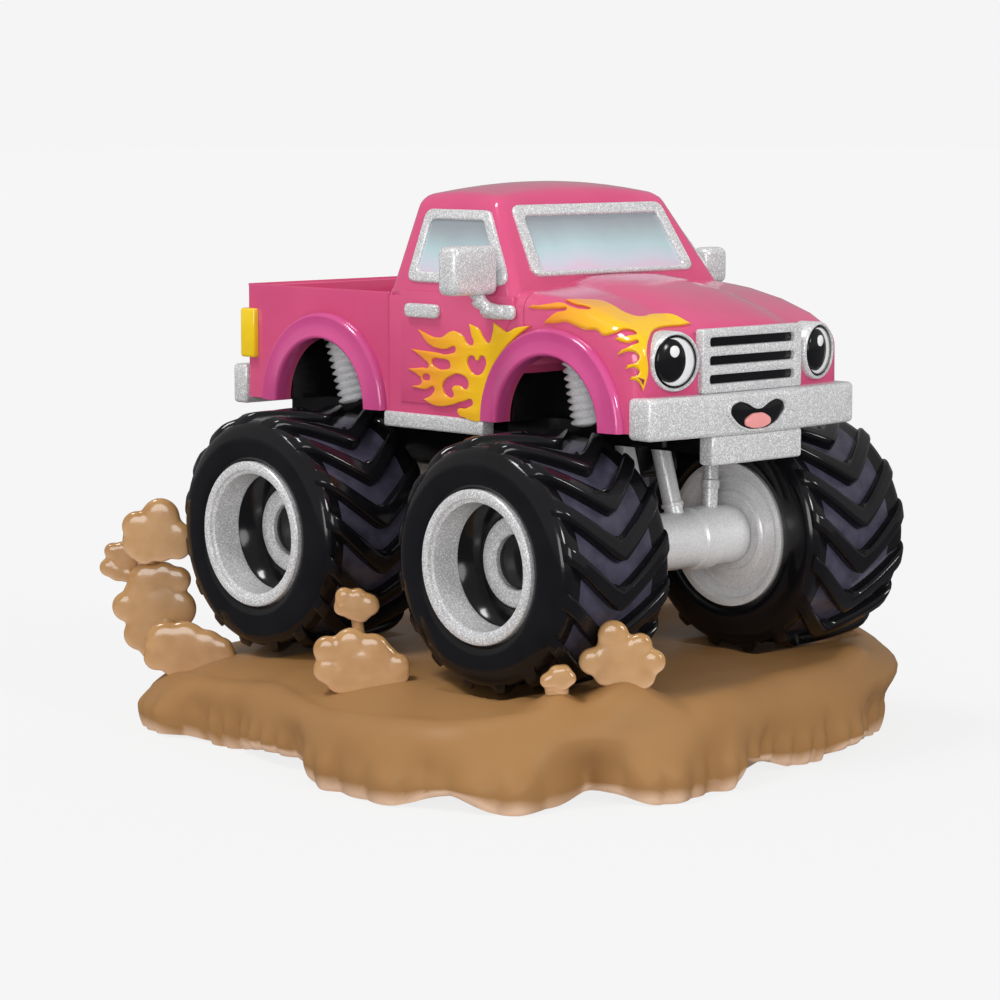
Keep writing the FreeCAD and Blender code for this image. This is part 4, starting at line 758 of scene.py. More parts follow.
def hood_height(x):
    """The height of the hood's middle line."""
    for (x0, z0), (x1, z1) in zip(HOOD_STOPS, HOOD_STOPS[1:]):
        if x <= x1:
            return z0 + (z1 - z0) * (x - x0) / (x1 - x0)
    return HOOD_STOPS[-1][1]


def hood_top(x, y):
    """The hood's height, with a raised panel in its middle and a fall to each side."""
    out = abs(y)
    panel = 0.9 * eased((out - 8.2) / 1.4)
    return hood_height(x) - (panel + 0.9 * (out / HALF_WIDTH) ** 2 + 0.25 * (out / 9) ** 2 * (out < 9))


def bow_nose(shape, nose_x, top):
    """Gives a box the hood's slope, which is top at each place, and the nose its bow."""
    for vert in shape.verts:
        x, y, z = vert.co
        if z > BODY_BLANK_TOP - 1:
            vert.co.z = top(x, y)
        if x > nose_x - 0.01:
            vert.co.x -= NOSE_BOW * (y / HALF_WIDTH) ** 2


def cut_lines(shape, normal, places):
    """Adds an edge loop at each place along one axis."""
    for place in places:
        whole = shape.verts[:] + shape.edges[:] + shape.faces[:]
        bmesh.ops.bisect_plane(shape, geom=whole, plane_co=normal * place, plane_no=normal)


def edges_between(shape, *pairs):
    """The edges of a box between outer faces, which are given by pairs of their normals."""
    shape.normal_update()
    found = []
    for edge in shape.edges:
        ways = [face.normal for face in edge.link_faces]
        orders = (ways, ways[::-1]) if len(ways) == 2 else ()
        if any(a.dot(first) > 0.8 and b.dot(second) > 0.8 for a, b in orders for first, second in pairs):
            found.append(edge)
    return found


def carved(shape, cutters):
    """The shape with the cutters' room taken out of it."""
    whole = joined(cutters)
    for part in (whole, shape):
        bmesh.ops.recalc_face_normals(part, faces=part.faces)
    tool = put_in_scene("cutter", as_mesh("cutter", whole))
    cut = {"operation": "DIFFERENCE", "solver": "EXACT", "use_self": False, "object": tool}
    result = modified(shape, ("BOOLEAN", cut))
    bpy.data.objects.remove(tool)
    return result


def arch_cutter(axle_x):
    """A round bar right across the truck that cuts both wheel arches of one axle."""
    bar = bmesh.new()
    bmesh.ops.create_cone(
        bar, cap_ends=True, segments=72, radius1=ARCH_RADIUS, radius2=ARCH_RADIUS, depth=60
    )
    return move(rotate(bar, Matrix.Rotation(math.pi / 2, 3, "X")), (axle_x, 0, BODY_BOTTOM))


def lamp_turned(profile, side, steps=64):
    """A profile of (radius, distance before the lamp's face) turned about the lamp's own axis."""
    face = Vector((LAMP_X, side * LAMP_Y, LAMP_Z))
    way = Vector((math.cos(LAMP_TOE), side * math.sin(LAMP_TOE), 0))
    return along_line(turned(profile, steps, closed=False), face, face + way)


front_end = box_shape((HOOD_REAR, -HALF_WIDTH, BODY_BOTTOM), (NOSE_X, HALF_WIDTH, BODY_BLANK_TOP))
cut_lines(front_end, FORE, (20, 22.4, 25, 28, 31, 33))
cut_lines(front_end, LEFT, [0.0] + [side * y for side in (-1, 1) for y in HOOD_LINES])
cut_lines(front_end, UP, (49,))
bow_nose(front_end, NOSE_X, hood_top)
corners = edges_between(front_end, (RIGHT, UP), (LEFT, UP), (RIGHT, FORE), (LEFT, FORE), (FORE, UP))
soften(front_end, corners, SHOULDER, 6)
front_hull = front_end.copy()
room_low = (HOOD_REAR - 1, WALL - HALF_WIDTH, BODY_BOTTOM - 5)
room = box_shape(room_low, (NOSE_X - WALL, HALF_WIDTH - WALL, BODY_BLANK_TOP))
cut_lines(room, FORE, (20, 25, 29, 33))
cut_lines(room, LEFT, (-12, 0, 12))
bow_nose(room, NOSE_X - WALL, lambda x, y: hood_height(x) - 2 * WALL)
lamp_holes = [lamp_turned([(0, -4), (3.7, -4), (3.7, 4), (0, 4)], side) for side in (-1, 1)]
grille_hole = box_shape((33, -9.1, 40), (45, 9.1, 57.3))
front_end = carved(front_end, [arch_cutter(WHEEL_BASE / 2), grille_hole] + lamp_holes)
front_end = carved(front_end, [room])
make_piece("front_shell", front_end, pink_paint, ["hood", "wing_right", "wing_left"], crease=35)

# Cab. The lower box runs back from the cowl to the bed, and the greenhouse stands on
# it, its walls leaning inwards under a softly domed roof.
CAB_REAR = -9.0
BELT = 61.9
ROOF_EDGE = 73.9
ROOF_CROWN = 2.1
ROOF_MIDDLE_X = 0.3
ROOF_HALF_LENGTH = 8.4
ROOF_HALF_WIDTH = 16.4
cab_low = box_shape((CAB_REAR, -HALF_WIDTH, BODY_BOTTOM), (HOOD_REAR - 0.1, HALF_WIDTH, 62))
cut_lines(cab_low, LEFT, [0.0] + [side * y for side in (-1, 1) for y in HOOD_LINES])
for vert in cab_low.verts:
    if vert.co.z > 61:
        vert.co.z = hood_top(vert.co.x, vert.co.y)
soften(cab_low, edges_between(cab_low, (RIGHT, UP), (LEFT, UP)), SHOULDER, 6)
bmesh.ops.delete(cab_low, geom=[f for f in cab_low.faces if f.normal.z < -0.9], context="FACES")
cab_low = modified(cab_low, ("SOLIDIFY", {"thickness": WALL, "offset": -1, "use_even_offset": True}))
make_piece("cab_lower", carved(cab_low, [arch_cutter(WHEEL_BASE / 2)]), pink_paint, crease=35)

greenhouse = bmesh.new()
bmesh.ops.create_cube(greenhouse, size=1)
cut_lines(greenhouse, UP, (0,))
for vert in greenhouse.verts:
    forward, left = vert.co.x > 0, 1 if vert.co.y > 0 else -1
    if vert.co.z > 0.1:
        vert.co = Vector((8.1 if forward else -7.6, left * 16.0, ROOF_EDGE))
    elif vert.co.z > -0.1:
        vert.co = Vector((15.4 if forward else CAB_REAR, left * HALF_WIDTH, BELT))
    else:
        vert.co = Vector((15.3 if forward else CAB_REAR + 0.1, left * (HALF_WIDTH - 0.3), 59.5))
greenhouse.normal_update()
roof_rim = [e for e in greenhouse.edges if all(v.co.z > ROOF_EDGE - 0.1 for v in e.verts)]
posts = [e for e in greenhouse.edges if abs(e.verts[0].co.z - e.verts[1].co.z) > 5]
soften(greenhouse, roof_rim + posts, 1.5, 5)
cut_lines(greenhouse, FORE, [-6 + 1.5 * n for n in range(9)])
cut_lines(greenhouse, LEFT, [-14 + 2 * n for n in range(15)])
for vert in greenhouse.verts:
    if vert.co.z > ROOF_EDGE - 1.6:
        x, y = (vert.co.x - ROOF_MIDDLE_X) / ROOF_HALF_LENGTH, vert.co.y / ROOF_HALF_WIDTH
        dome = max(0, 1 - x * x) ** 0.6 * max(0, 1 - y * y) ** 0.6
        vert.co.z += ROOF_CROWN * dome
make_piece("cab_greenhouse", greenhouse, pink_paint, ["cab_shell"], crease=35)

# Doors. A thin raised skin on each side of the cab, from the sill up round its window.
SIDES = {"right": -1, "left": 1}
DOOR_OUTLINE = [
    (-6.6, 46.4), (9.5, 46.4), (10.3, 51.0), (12.9, 56.0), (15.3, 59.0), (15.3, 61.5), (-6.6, 61.5),
]


def plate(outlines, thickness, soft, smooth=False):
    """A flat plate in XY cut from closed outlines, its edges softened; it rises from z = 0.
    Where it is smooth, its line runs round every knot but those marked as a tip."""
    drawing = bpy.data.curves.new("plate", "CURVE")
    drawing.dimensions = "2D"
    drawing.fill_mode = "BOTH"
    drawing.extrude = max(thickness / 2 - soft, 0)
    drawing.bevel_depth = soft
    drawing.bevel_resolution = 2
    drawing.offset = -soft
    drawing.resolution_u = 6
    for outline in outlines:
        line = drawing.splines.new("BEZIER")
        line.bezier_points.add(len(outline) - 1)
        line.use_cyclic_u = True
        for knot, spot in zip(line.bezier_points, outline):
            knot.co = (spot[0], spot[1], 0)
            kind = "AUTO" if smooth and len(spot) == 2 else "VECTOR"
            knot.handle_left_type = knot.handle_right_type = kind
    result = taken_up(put_in_scene("plate", drawing))
    bmesh.ops.remove_doubles(result, verts=result.verts, dist=0.001)
    return move(result, (0, 0, thickness / 2))


def stand_on(shape, origin, right, up):
    """Moves a shape drawn in XY onto the plane through origin that right and up span."""
    right, up = Vector(right).normalized(), Vector(up).normalized()
    out = right.cross(up).normalized()
    move(rotate(shape, Matrix((right, out.cross(right), out)).transposed()), origin)
    bmesh.ops.recalc_face_normals(shape, faces=shape.faces)
    return shape


def on_side(shape, side, x, y, z):
    """Stands a drawn plate upright on one side of the truck, y from its middle."""
    return stand_on(shape, (x, side * y, z), FORE * -side, UP)


for side_name, side in SIDES.items():
    drawn = [(-side * x, z) for x, z in DOOR_OUTLINE]
    door = on_side(plate([drawn], 0.8, 0.15), side, 0, HALF_WIDTH - 0.6, 0)
    make_piece("door_skin_" + side_name, door, pink_paint, ["door_" + side_name], crease=30)

# Load bed and tailgate. An open box of the same pink resin with soft rims.
BED_REAR = -39.3
BED_TOP = 61.5
BED_FLOOR = 56.4
BED_RIM = 1.6
WELL_HALF_LENGTH = 9.9
WELL_HALF_WIDTH = 5.3
WELL_Y = 13.2


def oblong(half, low, high):
    """The corners of a rectangle across the middle."""
    return [(-half, low), (half, low), (half, high), (-half, high)]


bed = box_shape((BED_REAR, -HALF_WIDTH, BODY_BOTTOM), (CAB_REAR - 0.1, HALF_WIDTH, BED_TOP))
deck = [f for f in bed.faces if f.normal.z > 0.9]
bmesh.ops.inset_region(bed, faces=deck, thickness=BED_RIM)
bmesh.ops.translate(bed, vec=(0, 0, BED_FLOOR - BED_TOP), verts=deck[0].verts[:])
bed.normal_update()
rims = [e for e in bed.edges if all(v.co.z > BED_TOP - 0.01 for v in e.verts)]
uprights = [e for e in bed.edges if abs(e.verts[0].co.z - e.verts[1].co.z) > 10]
soften(bed, [e for e in rims + uprights if e.calc_face_angle(0) > 0.5], 0.55)
well_rooms = [
    box_shape(
        (-WHEEL_BASE / 2 - WELL_HALF_LENGTH, side * WELL_Y - WELL_HALF_WIDTH, 40),
        (-WHEEL_BASE / 2 + WELL_HALF_LENGTH, side * WELL_Y + WELL_HALF_WIDTH, 55.5),
    )
    for side in SIDES.values()
]
bed = carved(carved(bed, well_rooms), [arch_cutter(-WHEEL_BASE / 2)])
make_piece("load_bed", bed, pink_paint, ["bed"], crease=35)
gate = stand_on(plate([oblong(16.4, 50.4, 60.9)], 1.2, 0.3), (BED_REAR + 0.7, 0, 0), RIGHT, UP)
make_piece("tailgate_panel", gate, pink_paint, ["tailgate"], crease=30)

# Wheel arch flares: fat half rings in a deeper magenta, glued on round each arch.
FLARE_INNER = 9.2
FLARE_OUTER = 12.8
flare_profile = [
    (FLARE_INNER, -0.6), (FLARE_INNER, 0.9), (9.28, 1.25), (9.5, 1.42), (9.75, 1.4), (9.95, 1.22),
    (10.9, 1.3), (12.0, 1.0), (12.25, 1.12), (12.5, 1.02), (12.75, 0.6), (FLARE_OUTER, 0.2),
    (FLARE_OUTER, -0.6),
]
flare_paint = enamel(
    "magenta enamel", (206, 80, 140), (196, 70, 132), gloss=0.14, patch=10, coat=0.4, peel=0.06
)
flare_rings = []
for axle_x in (WHEEL_BASE / 2, -WHEEL_BASE / 2):
    for side in SIDES.values():
        ring = bmesh.new()
        points = [ring.verts.new((radius, out * side, 0)) for radius, out in flare_profile]
        edges = [ring.edges.new(pair) for pair in zip(points, points[1:] + points[:1])]
        bmesh.ops.spin(
            ring,
            geom=points + edges + [ring.faces.new(points)],
            cent=(0, 0, 0),
            axis=(0, -1, 0),
            angle=math.pi,
            steps=48,
            use_duplicate=False,
        )
        bmesh.ops.remove_doubles(ring, verts=ring.verts, dist=0.001)
        bmesh.ops.recalc_face_normals(ring, faces=ring.faces)
        flare_rings.append(move(ring, (axle_x, side * HALF_WIDTH, BODY_BOTTOM)))
make_piece("flare_rings", joined(flare_rings), flare_paint, ["arch_flares"], crease=50)

# Windows. Each is an opaque painted pane, grey at the top and pale aqua and lilac
# below, inside a raised silver frame with round corners.
FRAME_WIDTH = 1.45
SCREEN_FRAME_WIDTH = 1.7
SCREEN_FRAME_FOOT = 0.7
FRAME_HEIGHT = 0.8
FRAME_SOFT = 0.28
FRAME_CORNER = 1.5
SCREEN_FOOT = Vector((14.3, 0, 63.8))
SCREEN_HEAD = Vector((8.6, 0, 73.0))
SIDE_WINDOW = [(-5.6, 0.8), (14.4, 0.8), (7.4, 10.5), (-4.9, 10.5)]
REAR_WINDOW = [(-12.6, 1.7), (12.6, 1.7), (11.4, 10.2), (-11.4, 10.2)]
REAR_UP = Vector((1.4, 0, 12))


def graded(paint, axis, start, end, sway, stops, patch=None):
    """Makes an enamel's shade follow one axis from start to end, swayed by its own soft
    patches or by others of a size given here."""
    tree = paint.node_tree
    place, drift, shade = tree.nodes["place"], tree.nodes["patches"], tree.nodes["shade"]
    if patch:
        drift = add_node(tree, "TexNoise", {"Scale": 1 / (patch * MM)})
        wire(tree, (place, "Object", drift, "Vector"))
    split = add_node(tree, "SeparateXYZ")
    run = add_node(tree, "MapRange", {"From Min": start * MM, "From Max": end * MM})
    swayed = add_node(tree, "Math", {1: sway}, operation="MULTIPLY_ADD")
    wire(
        tree,
        (place, "Object", split, "Vector"),
        (split, axis, run, "Value"),
        (drift, "Fac", swayed, 0),
        (run, "Result", swayed, 2),
        (swayed, "Value", shade, "Fac"),
    )
    set_ramp(shade, [(spot, seen(*tone)) for spot, tone in stops])
    return paint


def window_enamel(name, low, high):
    """Glass as it is painted on: shades that melt into each other from high to low."""
    grey, blue_grey, aqua = (146, 154, 160), (158, 170, 176), (180, 206, 210)
    pale, lilac = (200, 206, 218), (216, 194, 212)
    paint = enamel(name, grey, lilac, gloss=0.07, patch=9, coat=1.0, peel=0.03)
    stops = [(0.24, lilac), (0.38, pale), (0.58, aqua), (0.84, blue_grey), (1.0, grey)]
    return graded(paint, "Z", low, high, 0.35, stops, patch=8)


def corner_ways(corners):
    """Every corner of an outline, with the corners before and after it."""
    spots = [Vector(corner) for corner in corners]
    return zip(spots, spots[-1:] + spots[:-1], spots[1:] + spots[:1])


def rounded(corners, radius, steps=5):
    """A closed outline whose corners are small arcs."""
    result = []
    for corner, before, after in corner_ways(corners):
        back, on = (before - corner).normalized(), (after - corner).normalized()
        reach = min(radius / math.tan(back.angle(on) / 2), radius * 2.2)
        start, end = corner + back * reach, corner + on * reach
        for step in range(steps + 1):
            share = step / steps
            result.append(tuple(start.lerp(corner, share).lerp(corner.lerp(end, share), share)))
    return result


def shrunk(corners, inset):
    """The same convex outline with every side moved inwards."""
    centre = sum((Vector(corner) for corner in corners), Vector((0, 0))) / len(corners)
    result = []
    for corner, before, after in corner_ways(corners):
        ways = (corner - before).normalized(), (after - corner).normalized()
        normals = [Vector((-way.y, way.x)) for way in ways]
        normals = [n if n.dot(centre - corner) > 0 else -n for n in normals]
        middle = (normals[0] + normals[1]).normalized()
        result.append(corner + middle * inset / middle.dot(normals[0]))
    return result


def make_window(name, corners, origin, right, up, glass, stands_for, width=FRAME_WIDTH, foot=None):
    """A frame and its pane on the plane through origin; the frame may be thinner at its foot."""
    origin, out = Vector(origin), right.cross(up).normalized()
    opening = shrunk(corners, width)
    if foot is not None:
        opening = [Vector((c.x, foot)) if c.y < width + 0.1 else c for c in opening]
    rims = [rounded(corners, FRAME_CORNER), rounded(opening, FRAME_CORNER * 0.6)]
    ring = stand_on(plate(rims, FRAME_HEIGHT, FRAME_SOFT), origin - out * 0.35, right, up)
    make_piece(name + "_frame", ring, silver_paint, crease=30)
    pane = plate([rounded(shrunk(corners, 0.5), FRAME_CORNER * 0.7)], 0.5, 0.1)
    stand_on(pane, origin - out * 0.4, right, up)
    make_piece(name + "_pane", pane, glass, stands_for, crease=30)


screen_glass = window_enamel("windscreen enamel", 64, 72.6)
side_glass = window_enamel("side window enamel", 63, 72)
screen_up = SCREEN_HEAD - SCREEN_FOOT
make_window(
    "windscreen",
    [(-15.5, 0), (15.5, 0), (14.3, screen_up.length), (-14.3, screen_up.length)],
    SCREEN_FOOT,
    LEFT,
    screen_up,
    screen_glass,
    ["windscreen", "windscreen_trim"],
    width=SCREEN_FRAME_WIDTH,
    foot=SCREEN_FRAME_FOOT,
)
for side_name, side in SIDES.items():
    lean = Vector((0, -side * 1.0, 3.0))
    stretch = lean.length / lean.z
    drawn = [(-side * x, z * stretch) for x, z in SIDE_WINDOW]
    stands_for = ["side_windows", "side_window_trims"] if side < 0 else []
    foot = (0, side * HALF_WIDTH, BELT)
    make_window("side_window_" + side_name, drawn, foot, FORE * -side, lean, side_glass, stands_for)
stands_for = ["rear_window", "rear_window_trim"]
make_window("rear_window", REAR_WINDOW, (CAB_REAR, 0, BELT), RIGHT, REAR_UP, side_glass, stands_for)

# Sills, door handles and mirrors. Silver mouldings with round edges, one of each a
# side; the mirror is a fat square head on a bent arm that grows from its own pad.
MIRROR_HEADS = {"right": (9.4, 12.9, 20.3, 28.4, 61.7, 68.1), "left": (9.3, 12.4, 20.3, 24.8, 61.6, 66.6)}
ARM_BENDS = [
    (10.9, 22.8, 63.0), (11.0, 22.5, 61.2), (11.3, 21.9, 60.2), (12.2, 21.0, 59.5), (14.2, 20.5, 59.4),
]
ARM_RADIUS = 1.0


def sided_box(side, x0, x1, y0, y1, z0, z1, soft):
    """A rounded block on one side of the truck; y0 and y1 are distances from its middle."""
    low_y, high_y = sorted((side * y0, side * y1))
    return soft_box((x0, low_y, z0), (x1, high_y, z1), soft)


def side_pad(side, half, x, z):
    """A long rounded pad on the side of the cab."""
    pad = plate([rounded(oblong(half, -0.95, 0.95), 0.9)], 0.9, 0.35)
    return on_side(pad, side, x, HALF_WIDTH, z)


sills = [sided_box(side, -9.9, 9.7, 18.1, 20.4, 42.9, 45.0, 0.35) for side in SIDES.values()]
make_piece("sill_bars", joined(sills), silver_paint, ["sills"], crease=60)
for side_name, side in SIDES.items():
    handle = side_pad(side, 3.3, -1.9, 58.95)
    make_piece("door_handle_" + side_name, handle, silver_paint, ["door_handles"] if side < 0 else [])
    bends = [(x, side * y, z) for x, y, z in ARM_BENDS]
    arm = melted(joined([round_rod(a, b, ARM_RADIUS) for a, b in zip(bends, bends[1:])]), 0.16, 14)
    head = sided_box(side, *MIRROR_HEADS[side_name], 1.0)
    mirror = joined([side_pad(side, 3.0, 12.9, 59.45), arm, head])
    make_piece("mirror_head_" + side_name, mirror, silver_paint, ["mirror_" + side_name], crease=60)

# Grille. A square silver plate with three long round-ended slots over a black back.
SLOT_HALF = 8.2
SLOT_RISE = 0.58
SLOT_HEIGHTS = (51.4, 53.8, 56.2)


def on_front(shape, x):
    """Stands a drawn plate upright across the truck's front."""
    return stand_on(shape, (x, 0, 0), LEFT, UP)


slots = [rounded(oblong(SLOT_HALF, z - SLOT_RISE, z + SLOT_RISE), 0.5) for z in SLOT_HEIGHTS]
grille = on_front(plate([rounded(oblong(9.6, 49.6, 57.9), 0.5)] + slots, 1.5, 0.25), 37.7)
make_piece("grille_plate", grille, silver_paint, ["grille"], crease=30)
grille_back = on_front(plate([rounded(oblong(9.0, 50.2, 57.3), 0.5)], 1.3, 0.1), 37.2)
make_piece("grille_back", grille_back, black_paint, ["grille_backing"], crease=30)

# Headlamps, which are the face's eyes. A silver ring holds a white dome with a thin
# black line round it, a big black spot to one side and a white catchlight.
EYE_SIDEWAYS = 0.8
SPOT_NARROW = 0.86
ring_profile = [
    (3.1, -2.6), (3.85, -2.6), (3.85, -0.2), (3.78, 0.1), (3.62, 0.26), (3.46, 0.26), (3.35, 0.0),
    (3.3, -0.5),
]
white_profile = [(0, -2.0), (3.4, -2.0), (3.4, -0.3), (2.8, 0.05), (1.6, 0.28), (0, 0.38)]
line_profile = [(3.08, -1.0), (3.36, -1.0), (3.36, 0.02), (3.24, 0.1), (3.08, 0.08)]
spot_profile = [(0, -0.6), (2.75, -0.6), (2.75, 0.2), (2.5, 0.42), (1.4, 0.62), (0, 0.68)]
glint_profile = [(0, 0.3), (0.74, 0.3), (0.74, 0.66), (0.5, 0.78), (0, 0.82)]
white_paint = enamel("eye white enamel", (240, 240, 238), (226, 226, 230), gloss=0.1, patch=4)


def flattened(shape, narrow, side, shift, up):
    """Squeezes a turned lamp part sideways and moves it on the lamp's face."""
    across = Vector((math.sin(LAMP_TOE) * side, -math.cos(LAMP_TOE), 0))
    face = Vector((LAMP_X, side * LAMP_Y, LAMP_Z))
    for vert in shape.verts:
        off = (vert.co - face).dot(across)
        vert.co += across * (off * (narrow - 1) + shift)
        vert.co.z += up
    return shape


rings, whites, lines, spots, glints = [], [], [], [], []
for side in SIDES.values():
    rings.append(lamp_turned(ring_profile, side))
    whites.append(lamp_turned(white_profile, side))
    lines.append(lamp_turned(line_profile, side))
    spots.append(flattened(lamp_turned(spot_profile, side), SPOT_NARROW, side, EYE_SIDEWAYS, 0.15))
    glints.append(flattened(lamp_turned(glint_profile, side, 32), 1.0, side, EYE_SIDEWAYS - 0.25, 1.35))
make_piece("eye_rings", joined(rings), silver_paint, ["headlamp_bezels"], crease=50)
make_piece("eye_whites", joined(whites), white_paint, ["headlamp_lenses"], crease=50)
make_piece("eye_lines", joined(lines), black_paint, crease=50)
make_piece("eye_spots", joined(spots), black_paint, ["headlamp_pupils"], crease=50)
make_piece("eye_glints", joined(glints), white_paint, crease=50)

# Front bumper, smile and skid plate. The bumper is a bowed silver bar with round
# edges; the smile is sunk into it, black with a pink tongue and a soft silver lip.
BUMPER_HALF = 19.9
BUMPER_LOW = 44.2
BUMPER_HIGH = 49.6
BUMPER_MIDDLE_X = 41.0
BUMPER_END_X = 39.6
MOUTH_Y = -1.1
MOUTH_Z = 46.9
MOUTH_SPREAD = 1.18
MOUTH_HALF = [(0.0, 47.5), (1.9, 48.3), (3.4, 48.5), (4.6, 47.6), (3.9, 46.2), (2.0, 45.0), (0.0, 44.75)]
TONGUE_HALF = [(0.0, 46.9), (1.2, 46.7), (2.1, 45.7), (1.2, 45.05), (0.0, 44.9)]
tongue_paint = enamel("tongue pink enamel", (238, 160, 156), (230, 148, 146), gloss=0.14, patch=4)


def mouth_line(half, wide=1.0, high=1.0):
    """A closed line round the mouth's middle from its one half, grown by two factors."""
    whole = half + [(-y, z) for y, z in reversed(half[1:-1])]
    return [(MOUTH_Y + y * MOUTH_SPREAD * wide, MOUTH_Z + (z - MOUTH_Z) * high) for y, z in whole]


bumper = box_shape((35.6, -BUMPER_HALF, BUMPER_LOW), (BUMPER_MIDDLE_X, BUMPER_HALF, BUMPER_HIGH))
cut_lines(bumper, LEFT, [-18 + 3 * n for n in range(13)])
for vert in bumper.verts:
    outward = (vert.co.y / BUMPER_HALF) ** 2
    if vert.co.x > 40:
        vert.co.x -= (BUMPER_MIDDLE_X - BUMPER_END_X) * outward
    else:
        vert.co.x += 0.9 * (1 - outward)
bumper.normal_update()
soften(bumper, [e for e in bumper.edges if e.calc_face_angle(0) > 0.8], 0.7)
mouth_room = on_front(plate([mouth_line(MOUTH_HALF, 0.96, 0.96)], 3.0, 0.02, smooth=True), 40.2)
make_piece("bumper_bar", carved(bumper, [mouth_room]), silver_paint, ["front_bumper"], crease=40)
lip_lines = [mouth_line(MOUTH_HALF, 1.08, 1.12), mouth_line(MOUTH_HALF, 0.97, 0.96)]
make_piece("smile_lip", on_front(plate(lip_lines, 0.6, 0.15, smooth=True), 40.6), silver_paint, crease=50)
smile = on_front(plate([mouth_line(MOUTH_HALF)], 0.6, 0.1, smooth=True), 40.3)
make_piece("smile_fill", smile, black_paint, ["smile"], crease=40)
tongue = on_front(plate([mouth_line(TONGUE_HALF)], 0.5, 0.2, smooth=True), 40.7)
make_piece("tongue_pad", tongue, tongue_paint, ["tongue"], crease=50)
skid = soft_box((37.6, -8.7, 40.4), (40.2, 8.7, 44.3), 0.5)
make_piece("skid_block", skid, silver_paint, ["skid_plate"], crease=60)

# Rear bumper and tail lamps. A square silver bar across the back, and a yellow lamp
# that wraps each rear corner.
yellow_paint = enamel("lamp yellow enamel", (242, 206, 24), (236, 194, 16), gloss=0.14, patch=4)
rear_bar = soft_box((-42.3, -20.4, 44.0), (-39.3, 20.4, 49.6), 0.6)
make_piece("rear_bar", rear_bar, silver_paint, ["rear_bumper"], crease=60)
lamps = [sided_box(side, -40.1, -37.0, 17.2, 20.8, 50.7, 57.7, 0.4) for side in SIDES.values()]
make_piece("tail_lamp_blocks", joined(lamps), yellow_paint, ["tail_lamps"], crease=60)

# Flames. The traditional hot-rod pattern, raised a little from the paint: orange
# tongues with a yellow heart that run back from each front wheel and from the nose.
FLAME_SIDE = [
    (9.9, 45.2), (10.1, 48.5), (11.2, 51.4), (13.2, 54.0), (15.8, 56.2), (18.6, 57.9, "tip"), (15.9, 57.5),
    (14.3, 56.9), (13.1, 57.4), (11.9, 58.0, "tip"), (11.6, 56.4), (10.9, 55.3), (9.9, 55.9), (9.0, 57.0),
    (7.2, 57.6, "tip"), (7.6, 56.2), (8.0, 55.0), (6.9, 54.9), (5.8, 56.0), (3.9, 56.5), (1.4, 55.5),
    (-2.9, 56.4, "tip"), (-0.4, 54.4), (2.4, 54.0), (4.6, 54.2), (3.2, 53.4), (0.4, 53.5),
    (-4.3, 53.7, "tip"), (-1.6, 52.4), (-0.7, 51.6), (-2.3, 51.3), (-4.9, 51.0, "tip"), (-2.6, 50.1),
    (-2.0, 49.6), (-4.3, 48.6, "tip"), (-1.4, 48.4), (0.4, 48.7), (0.0, 47.9), (-1.9, 47.0, "tip"),
    (0.8, 46.3), (3.6, 46.6), (5.8, 47.2), (7.9, 47.3), (6.6, 46.4), (4.9, 46.0), (5.4, 45.2, "tip"),
]
FLAME_HOLES = [
    [(8.7, 52.8), (8.0, 53.4), (6.9, 53.0), (7.0, 51.9), (8.7, 50.9), (10.3, 52.1), (10.3, 53.2), (9.4, 53.5)],
    [(3.6, 51.9), (1.6, 52.7), (-0.2, 52.2), (0.6, 51.5), (2.4, 51.3)],
    [(7.1, 49.8), (5.6, 50.8), (3.6, 50.5), (2.0, 49.2), (2.6, 47.9), (4.2, 47.9), (3.9, 48.9), (5.2, 49.3),
     (6.6, 48.9)],
    [(-0.4, 50.1), (-1.3, 50.5), (-2.0, 50.0), (-1.2, 49.6)],
]
FLAME_HOOD = [
    (-6.6, 3.7, "tip"), (-5.0, 3.2), (-3.7, 2.9), (-2.2, 2.6), (-0.9, 1.5), (0.4, 0.7), (1.6, 0.6),
    (1.0, 1.3), (-0.3, 1.9), (-1.7, 3.1, "tip"), (0.7, 3.5), (2.8, 3.6), (4.5, 2.2), (6.1, 0.6), (7.8, 0.0),
    (9.6, 1.4), (11.6, 1.9), (14.3, 0.2, "tip"), (11.8, -0.9), (9.9, -2.4), (9.2, -4.5), (8.9, -7.1),
    (9.1, -9.0), (8.5, -11.2, "tip"), (7.9, -10.3), (6.8, -10.0, "tip"), (8.0, -9.4), (7.7, -8.9),
    (6.2, -8.8, "tip"), (7.9, -8.1), (7.9, -7.5), (5.2, -6.9, "tip"), (7.0, -6.4), (7.9, -5.7), (6.4, -5.8),
    (4.9, -5.0, "tip"), (6.6, -4.9), (7.6, -4.4), (6.3, -3.6), (4.8, -4.1), (3.4, -4.0), (2.5, -3.0),
    (1.0, -2.3), (-0.4, -1.2), (-1.7, -0.2), (-2.8, 0.2), (-4.5, 1.0, "tip"), (-2.9, 1.3), (-1.5, 1.3),
    (-2.7, 1.9), (-4.4, 2.5),
]
FLAME_AIM = Vector((-0.55, 0.6, -0.58)).normalized()
FLAME_MIDDLE = Vector((27.0, -20.0, 60.0))
FLAME_RUN_UP = 30
FLAME_SOFT = 0.17


def flame_enamel(name, orange_at, yellow_at):
    """Enamel that runs from orange to yellow between two places along the truck."""
    yellow, orange = (244, 192, 16), (240, 150, 44)
    paint = enamel(name, yellow, orange, gloss=0.14, patch=4, coat=0.5, peel=0.05)
    return graded(paint, "X", orange_at, yellow_at, 0.3, [(0.2, orange), (1.0, yellow)])


